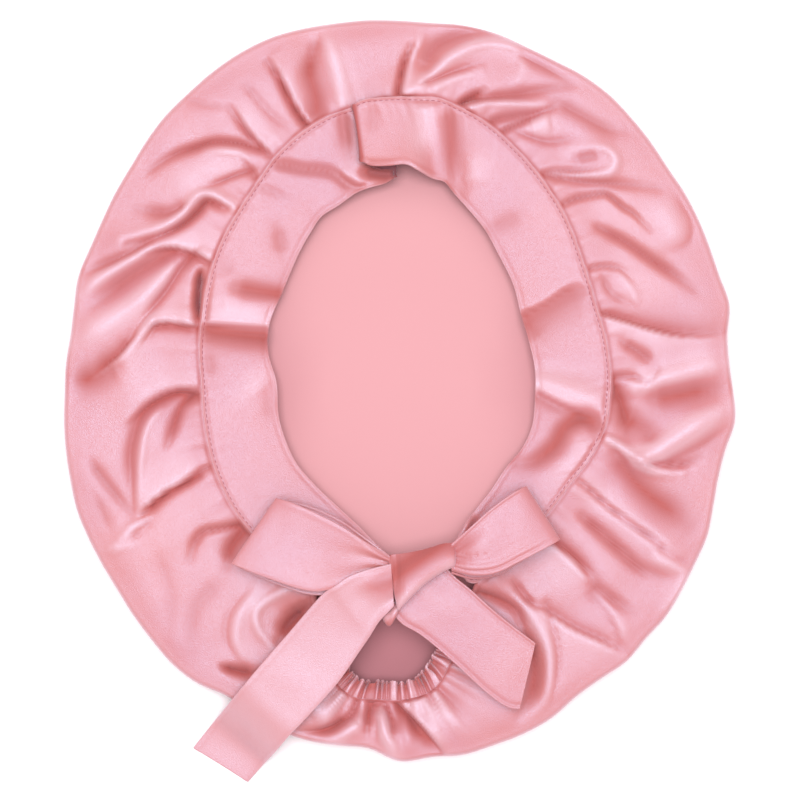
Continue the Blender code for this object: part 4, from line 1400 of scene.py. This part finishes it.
@dataclass
class Tie:
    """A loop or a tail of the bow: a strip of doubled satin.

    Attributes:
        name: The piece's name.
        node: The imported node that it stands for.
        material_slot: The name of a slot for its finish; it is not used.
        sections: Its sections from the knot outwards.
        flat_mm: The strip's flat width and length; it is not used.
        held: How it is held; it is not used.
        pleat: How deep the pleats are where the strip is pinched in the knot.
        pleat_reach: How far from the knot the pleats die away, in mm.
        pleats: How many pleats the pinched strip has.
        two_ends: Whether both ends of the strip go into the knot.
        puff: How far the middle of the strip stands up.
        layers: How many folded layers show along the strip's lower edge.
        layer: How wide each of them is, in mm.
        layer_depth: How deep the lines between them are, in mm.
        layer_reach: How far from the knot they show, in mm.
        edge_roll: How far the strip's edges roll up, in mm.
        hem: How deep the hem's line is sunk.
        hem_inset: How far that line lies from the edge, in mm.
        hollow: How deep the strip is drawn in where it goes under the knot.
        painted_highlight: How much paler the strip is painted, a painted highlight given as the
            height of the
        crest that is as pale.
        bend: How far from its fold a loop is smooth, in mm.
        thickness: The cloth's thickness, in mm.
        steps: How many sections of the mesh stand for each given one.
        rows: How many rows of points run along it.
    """

    name: str
    node: str
    material_slot: str
    sections: Sequence[Section]
    flat_mm: tuple[float, float]
    held: Held
    pleat: float = 0.0
    pleat_reach: float = 25.0
    pleats: float = 2.5
    two_ends: bool = False
    puff: float = 0.6
    layers: int = 0
    layer: float = 2.6
    layer_depth: float = 0.7
    layer_reach: float = 26.0
    edge_roll: float = 0.25
    hem: float = 0.3
    hem_inset: float = 2.0
    hollow: float = 0.0
    painted_highlight: float = 0.0
    bend: float = 14.0
    thickness: float = 1.2
    steps: int = 12
    rows: int = 20

    SWAY = ((0.1, 23.0, 0.3), (0.15, 41.0, 0.8))

    def points(self) -> Rows:
        """Lays the strip's points, with its pleats, its puff and its rolled edges."""
        sections = smooth_rows(self.sections, self.steps)
        points, across = strip_points(sections, self.rows)
        middle = (sections[:, :3] + sections[:, 3:]) / 2
        steps = np.linalg.norm(np.diff(middle, axis=0), axis=1)
        place = np.concatenate([[0.0], np.cumsum(steps)])
        from_knot = np.minimum(place, place[-1] - place) if self.two_ends else place
        width = strip_width(sections)[None, :]
        share = across[:, None]
        pinch = np.exp(-(from_knot / self.pleat_reach) ** 1.5)[None, :]
        pleats = self.pleat * pinch * np.sin(math.tau * (share * self.pleats + 0.15))
        inward = np.minimum(share, 1 - share) * width
        from_knot = from_knot[None, :]
        edge = self.edge_roll * bump(inward - 0.4, 0.5)
        edge = edge - self.hem * bump(inward - self.hem_inset, 0.7)
        puffed = self.puff * np.sin(math.pi * share)
        sway = ripple(place[None, :] + 9.0 * share, self.SWAY)
        lower = (1 - share) * width
        layered = self.layer_depth * (np.abs(np.sin(math.pi * lower / self.layer)) - 1)
        shows = (lower < self.layer * self.layers) * bump(from_knot, self.layer_reach)
        layered = layered * shows
        drawn = -self.hollow * bump(share - 0.35, 0.16) * bump(from_knot - 3.0, 7.0)
        folds = pleats + edge + layered + drawn + sway * np.sin(math.pi * share)
        if self.two_ends:
            flat = smoothstep(np.abs(place - place[-1] / 2) / self.bend)[None, :]
            folds, puffed = folds * flat, puffed * flat
        # The painted highlight lifts only the colour mark.
        return raised(points, folds + puffed, puffed - self.painted_highlight)

    def build(self, finish: WovenSatin) -> bpy.types.Object:
        """Builds and dresses the strip."""
        sheet = ClothSheet(self.name, self.points(), self.thickness, refine=1)
        piece = sheet.build([finish.material()])
        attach(piece, "root")
        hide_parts(self.node)
        return piece


@dataclass
class Knot:
    """The knot: the tie wrapped tightly over itself, creased along the way that it turns.

    Attributes:
        steps: How many rings stand for each given slice.
        sides: How many points each ring has.
        crease: How deep its creases are, in mm.
        creases: How many creases there are across its wrap.
        wrap: How wide its wrap is, in mm.
        fall: How far its front falls away, in mm.
        side_round: How round each slice is at its sides: 1 is round and less is fuller.
        top_round: How round it is at the top and bottom.
        crest: The height of the painted highlight along its slanting crest.
        crest_width: That painted highlight's width, in mm.
        above: The depth of the painted shade above the crest.
        upper_shade_place: How far above the crest that painted shade lies, in mm.
        upper_shade_width: That painted shade's width, in mm.
        below: The depth of the painted shade below the crest.
    """

    steps: int = 9
    sides: int = 72
    crease: float = 0.4
    creases: float = 2.6
    wrap: float = 40.0
    fall: float = 3.0
    side_round: float = 0.8
    top_round: float = 0.6
    crest: float = 2.6
    crest_width: float = 3.0
    above: float = 4.4
    upper_shade_place: float = 14.0
    upper_shade_width: float = 4.5
    below: float = 3.0

    # A point on the painted highlight's line, and the normal to that line.
    HIGHLIGHT_POINT = (26.0, -84.5)
    HIGHLIGHT_NORMAL = (-0.574, 0.82)
    WRAP = (
        Slice(28.8, -73.0, -83.0, 32.5, 39.5),
        Slice(27.3, -72.0, -84.5, 32.5, 42.0),
        Slice(22.0, -72.2, -86.8, 32.5, 44.0),
        Slice(13.0, -74.8, -92.8, 32.5, 45.5),
        Slice(4.5, -76.6, -101.0, 32.5, 45.5),
        Slice(1.0, -77.2, -104.6, 32.5, 44.5),
        Slice(-1.0, -77.5, -106.6, 32.5, 43.0),
        Slice(-2.2, -77.7, -102.0, 32.5, 42.0),
        Slice(-4.0, -77.9, -93.0, 33.0, 41.5),
        Slice(-5.4, -78.1, -86.0, 33.5, 40.0),
        Slice(-6.4, -78.6, -81.5, 35.0, 37.5),
    )
    TURN = (
        Slice(-9.6, -108.5, -110.5, 30.5, 32.0),
        Slice(-7.8, -105.5, -113.5, 30.0, 34.5),
        Slice(-5.4, -103.5, -115.0, 30.0, 36.0),
        Slice(-3.2, -102.5, -112.5, 31.0, 37.0),
        Slice(-1.0, -102.5, -108.0, 32.0, 36.5),
    )

    def build(self, finish: WovenSatin) -> bpy.types.Object:
        """Builds the knot by bridging rings laid on its slices, and dresses it."""
        body = bmesh.new()
        for slices in (self.WRAP, self.TURN):
            rings = []
            for row in smooth_rows(slices, self.steps):
                made = bmesh.ops.create_circle(body, segments=self.sides, radius=1.0)
                self.lay_ring(made["verts"], Slice(*row))
                rings.append({edge for vert in made["verts"] for edge in vert.link_edges})
            for first, second in zip(rings, rings[1:]):
                bmesh.ops.bridge_loops(body, edges=list(first | second))
            for ring in (rings[0], rings[-1]):
                bmesh.ops.contextual_create(body, geom=list(ring))
        bmesh.ops.recalc_face_normals(body, faces=body.faces)
        mesh = bpy.data.meshes.new("bow_knot_cloth")
        body.to_mesh(mesh)
        body.free()
        self.paint_highlight_and_shade(mesh)
        mesh.shade_smooth()
        mesh.materials.append(finish.material())
        piece = placed("bow_knot_cloth", mesh)
        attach(piece, "root")
        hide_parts("bow_knot")
        return piece

    def paint_highlight_and_shade(self, mesh: bpy.types.Mesh) -> None:
        """Paints a highlight along the knot's slanting crest, and shade above and below it."""
        place = np.zeros(3 * len(mesh.vertices), np.float32)
        mesh.vertices.foreach_get("co", place)
        x, y, _ = place.reshape(-1, 3).T / MM
        from_highlight = ((x - self.HIGHLIGHT_POINT[0]) * self.HIGHLIGHT_NORMAL[0]
                      + (y - self.HIGHLIGHT_POINT[1]) * self.HIGHLIGHT_NORMAL[1])
        height = self.crest * bump(from_highlight, self.crest_width)
        height -= self.above * bump(from_highlight - self.upper_shade_place, self.upper_shade_width)
        height -= self.below * smoothstep((-self.crest_width - from_highlight) / 4.0)
        marks = mesh.attributes.new(FOLD_AND_PAINTED_LIGHT, "FLOAT", "POINT")
        marks.data.foreach_set("value", height.astype(np.float32))

    def lay_ring(self, verts: Sequence[bmesh.types.BMVert], cut: Slice) -> None:
        """Moves a ring of the unit circle on to a slice of the knot.

        Args:
            verts: The ring's points, on a circle of radius 1 in X and Y.
            cut: The slice.
        """
        for vert in verts:
            side, up = vert.co.x, vert.co.y
            side = math.copysign(abs(side) ** self.side_round, side)
            up = math.copysign(abs(up) ** self.top_round, up)
            y = (cut.front + cut.back) / 2 + side * (cut.front - cut.back) / 2
            z = (cut.low + cut.high) / 2 + up * (cut.high - cut.low) / 2
            slant = (y + 90.0) * 0.8 - cut.x * 0.6
            crease = self.crease * math.sin(math.tau * slant / self.wrap * self.creases)
            top = max(up, 0.0) * math.cos(math.pi / 2 * abs(side) ** 3)
            z += crease * top - self.fall * max(side + 0.3, 0.0) ** 2 * max(up, 0.0)
            vert.co = (cut.x * MM, y * MM, z * MM)


@dataclass
class Bow:
    """The bow: two loops, two tails and the knot."""

    LOOP_LEFT = (
        Section(-5.0, -79.5, 37.5, -5.0, -86.0, 36.0),
        Section(-17.5, -71.5, 40.5, -17.0, -88.5, 36.5),
        Section(-31.0, -62.5, 42.0, -33.0, -95.0, 37.5),
        Section(-46.5, -54.8, 41.5, -47.0, -96.5, 39.5),
        Section(-57.0, -50.6, 39.5, -69.5, -89.5, 39.5),
        Section(-63.5, -49.0, 35.2, -86.5, -83.0, 35.2),
        Section(-57.0, -50.6, 32.2, -70.0, -91.0, 32.2),
        Section(-46.5, -53.0, 33.0, -49.0, -98.4, 33.2),
        Section(-31.0, -60.0, 34.2, -34.5, -98.0, 33.6),
        Section(-17.5, -69.5, 35.2, -18.0, -89.5, 34.0),
        Section(-5.0, -79.0, 35.4, -5.0, -86.5, 34.2),
    )
    LOOP_RIGHT = (
        Section(26.5, -72.8, 38.0, 26.5, -86.0, 37.0),
        Section(36.5, -63.5, 41.5, 37.0, -88.2, 40.5),
        Section(47.0, -54.0, 42.5, 49.0, -87.0, 42.0),
        Section(56.5, -47.0, 42.2, 62.0, -80.8, 42.2),
        Section(62.5, -43.6, 40.2, 78.0, -72.6, 40.2),
        Section(64.5, -42.8, 36.0, 82.0, -70.5, 36.0),
        Section(61.5, -44.0, 32.8, 77.0, -73.4, 32.8),
        Section(56.5, -47.2, 32.0, 62.5, -81.8, 32.0),
        Section(47.0, -54.5, 33.0, 50.0, -88.8, 33.0),
        Section(36.5, -64.0, 34.5, 37.5, -90.4, 34.5),
        Section(26.5, -73.3, 35.2, 26.5, -87.4, 35.2),
    )
    TAIL_LEFT = (
        Section(-4.5, -82.5, 40.5, -3.0, -104.5, 37.5),
        Section(-15.0, -85.0, 40.6, -6.5, -108.0, 37.0),
        Section(-25.7, -88.7, 40.4, -11.0, -113.0, 35.5),
        Section(-33.5, -93.9, 39.4, -15.0, -119.5, 34.0),
        Section(-40.8, -99.1, 36.5, -20.0, -127.0, 32.5),
        Section(-57.0, -118.0, 32.0, -32.5, -145.0, 30.5),
        Section(-73.5, -137.0, 29.5, -49.0, -163.5, 28.5),
        Section(-82.0, -147.3, 27.5, -57.5, -172.5, 26.0),
        Section(-88.0, -154.8, 21.5, -63.5, -180.0, 19.5),
        Section(-93.0, -161.2, 12.5, -67.8, -185.4, 11.0),
        Section(-98.5, -168.3, 4.6, -72.0, -190.2, 4.2),
        Section(-109.0, -181.5, 1.2, -80.0, -199.5, 1.2),
    )
    TAIL_RIGHT = (
        Section(22.5, -83.0, 31.7, -5.0, -107.0, 31.7),
        Section(29.0, -90.0, 31.6, 1.0, -114.0, 31.6),
        Section(37.0, -96.5, 32.0, 11.0, -120.0, 31.0),
        Section(48.0, -106.5, 32.0, 25.5, -132.0, 30.5),
        Section(59.0, -115.5, 31.0, 45.0, -150.0, 29.5),
        Section(66.5, -121.2, 30.3, 55.5, -157.2, 28.9),
        Section(70.0, -124.0, 30.0, 62.0, -158.2, 28.5),
    )

    def ties(self) -> list[Tie]:
        """Returns the two loops and the two tails."""
        return [
            Tie("bow_loop_left_cloth", "bow_loop_left", "loop_left_satin", self.LOOP_LEFT,
                (38.0, 165.0), Held.FOLDED, pleat=0.7, pleat_reach=20.0, two_ends=True, puff=0.8,
                painted_highlight=0.4),
            Tie("bow_loop_right_cloth", "bow_loop_right", "loop_right_satin", self.LOOP_RIGHT,
                (35.0, 110.0), Held.FOLDED, pleat=0.5, pleat_reach=18.0, two_ends=True, puff=0.6,
                layers=4, hollow=1.5, painted_highlight=0.2, rows=36),
            Tie("bow_tail_left_cloth", "bow_tail_left", "tail_left_satin", self.TAIL_LEFT,
                (36.0, 152.0), Held.DRAPED, pleat=0.4, pleat_reach=16.0, hollow=3.0, painted_highlight=1.6),
            Tie("bow_tail_right_cloth", "bow_tail_right", "tail_right_satin", self.TAIL_RIGHT,
                (36.0, 82.0), Held.DRAPED, pleat=0.3, pleat_reach=16.0, hem=0.6, painted_highlight=0.1),
        ]

    def build(self, finish: WovenSatin) -> list[bpy.types.Object]:
        """Builds and dresses the whole bow."""
        return [tie.build(finish) for tie in self.ties()] + [Knot().build(finish)]


# ---------------------------------------------------------------- sewing


@dataclass
class StitchRow:
    """A row of machine stitches that lies along a line.

    Attributes:
        name: The piece's name.
        line: The line's points, in mm.
        pitch: How far each stitch is from the next, in mm.
        length: How long a stitch is, in mm.
        thread: How thick the thread is, in mm, drawn coarser than real so that it shows.
        sides: How many sides the thread has.
        bands: How many bands of faces each stitch has along it.
    """

    name: str
    line: Rows
    pitch: float = 3.0
    length: float = 2.2
    thread: float = 0.42
    sides: int = 6
    bands: int = 4

    def build(self, finish: SewingThread) -> bpy.types.Object:
        """Builds all the stitches as one piece and dresses it."""
        places = along(self.line)
        starts = np.arange(self.pitch, places[-1] - self.pitch, self.pitch)
        row = bmesh.new()
        for start in starts:
            ends = [np.array([np.interp(at, places, self.line[:, k]) for k in range(3)])
                    for at in (start, start + self.length)]
            self.add_stitch(row, ends[0], ends[1])
        mesh = bpy.data.meshes.new(self.name)
        row.to_mesh(mesh)
        row.free()
        mesh.shade_smooth()
        mesh.materials.append(finish.material())
        piece = placed(self.name, mesh)
        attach(piece, "root")
        return piece

    def add_stitch(self, row: bmesh.types.BMesh, start: Rows, end: Rows) -> None:
        """Adds one stitch as a small spindle between two points.

        Args:
            row: The mesh of all the stitches.
            start: The point that the stitch starts from.
            end: The point that it ends at.
        """
        made = bmesh.ops.create_uvsphere(row, u_segments=self.sides, v_segments=self.bands,
                                         radius=1.0)
        middle, half = (start + end) / 2, (end - start) / 2
        length = np.linalg.norm(half)
        ahead = half / length
        side = np.cross([0.0, 0.0, 1.0], ahead)
        side /= np.linalg.norm(side)
        up = np.cross(ahead, side)
        for vert in made["verts"]:
            x, y, z = vert.co
            place = middle + ahead * z * length + (side * x + up * y) * self.thread / 2
            vert.co = place * MM


# ---------------------------------------------------------------- the room


@dataclass
class Studio:
    """The pale table, the soft lights and the camera that looks straight down.

    Attributes:
        table_side: The table's side, in metres.
        camera_height: How high the camera stands, in metres.
        camera_y: Where it stands along Y, in metres.
        view_width: How much the picture shows across at `view_level`, in metres.
        view_level: The level at which it shows that, in metres.
        sensor: The camera's sensor, in mm.
        light_place: Where the softbox stands, in metres.
        light_size: Its width and height, in metres.
        light_power: Its power, in watts.
        light_colour: Its colour, a daylight tube's.
        room_colour: The colour of the light that the room sends back.
        room_strength: The strength of that light.
    """

    table_side: float = 6.0
    camera_height: float = 1.6
    camera_y: float = 0.0016
    view_width: float = 0.416
    view_level: float = 0.02
    sensor: float = 36.0
    light_place: tuple[float, float, float] = (-0.05, 0.25, 3.4)
    light_size: tuple[float, float] = (2.1, 2.1)
    light_power: float = 114.0
    light_colour: str = "#FBFBFF"
    room_colour: str = "#FAF1F3"
    room_strength: float = 0.74

    def build(self) -> None:
        """Builds the room."""
        self.table()
        self.camera()
        self.softbox()
        world = bpy.data.worlds.new("soft room light")
        world.use_nodes = True
        light = world.node_tree.nodes["Background"]
        light.inputs["Color"].default_value = linear(self.room_colour)
        light.inputs["Strength"].default_value = self.room_strength
        bpy.context.scene.world = world
        bpy.context.scene.view_settings.view_transform = "Standard"

    def table(self) -> None:
        """Adds the table top that the bonnet lies on."""
        top = bmesh.new()
        bmesh.ops.create_grid(top, x_segments=1, y_segments=1, size=self.table_side / 2)
        mesh = bpy.data.meshes.new("table_top")
        top.to_mesh(mesh)
        top.free()
        mesh.materials.append(PaleTable().material())
        placed("table_top", mesh)

    def camera(self) -> None:
        """Adds the camera, straight above the bonnet."""
        data = bpy.data.cameras.new("overhead camera")
        data.sensor_width = self.sensor
        reach = self.camera_height - self.view_level
        data.lens = self.sensor * reach / self.view_width
        camera = placed("overhead camera", data)
        camera.location = (0.0, self.camera_y, self.camera_height)
        bpy.context.scene.camera = camera

    def softbox(self) -> None:
        """Adds the soft square light overhead, turned to face the bonnet."""
        data = bpy.data.lights.new("overhead softbox", "AREA")
        data.shape = "RECTANGLE"
        data.size, data.size_y = self.light_size
        data.energy = self.light_power
        data.color = linear(self.light_colour)[:3]
        light = placed("overhead softbox", data)
        light.location = self.light_place
        x, y, z = self.light_place
        light.rotation_euler = (-math.atan2(math.hypot(x, y), z), 0.0, math.atan2(-x, y))


def main() -> None:
    """Builds the room and the bonnet, and reports each piece."""
    logging.basicConfig(level=logging.INFO)
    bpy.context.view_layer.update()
    satin = WovenSatin("woven satin")
    Studio().build()
    band = Band()
    casing = NapeCasing()
    pieces = [
        Crown(band, casing).build(satin, SatinBack("satin back")),
        band.build(satin),
        casing.build(satin),
        *Bow().build(satin),
        StitchRow("band_stitches", band.stitch_line()).build(SewingThread("sewing thread")),
    ]
    for piece in pieces:
        LOG.info("%s: %d faces before its modifiers", piece.name, len(piece.data.polygons))


if __name__ == "__main__":
    main()
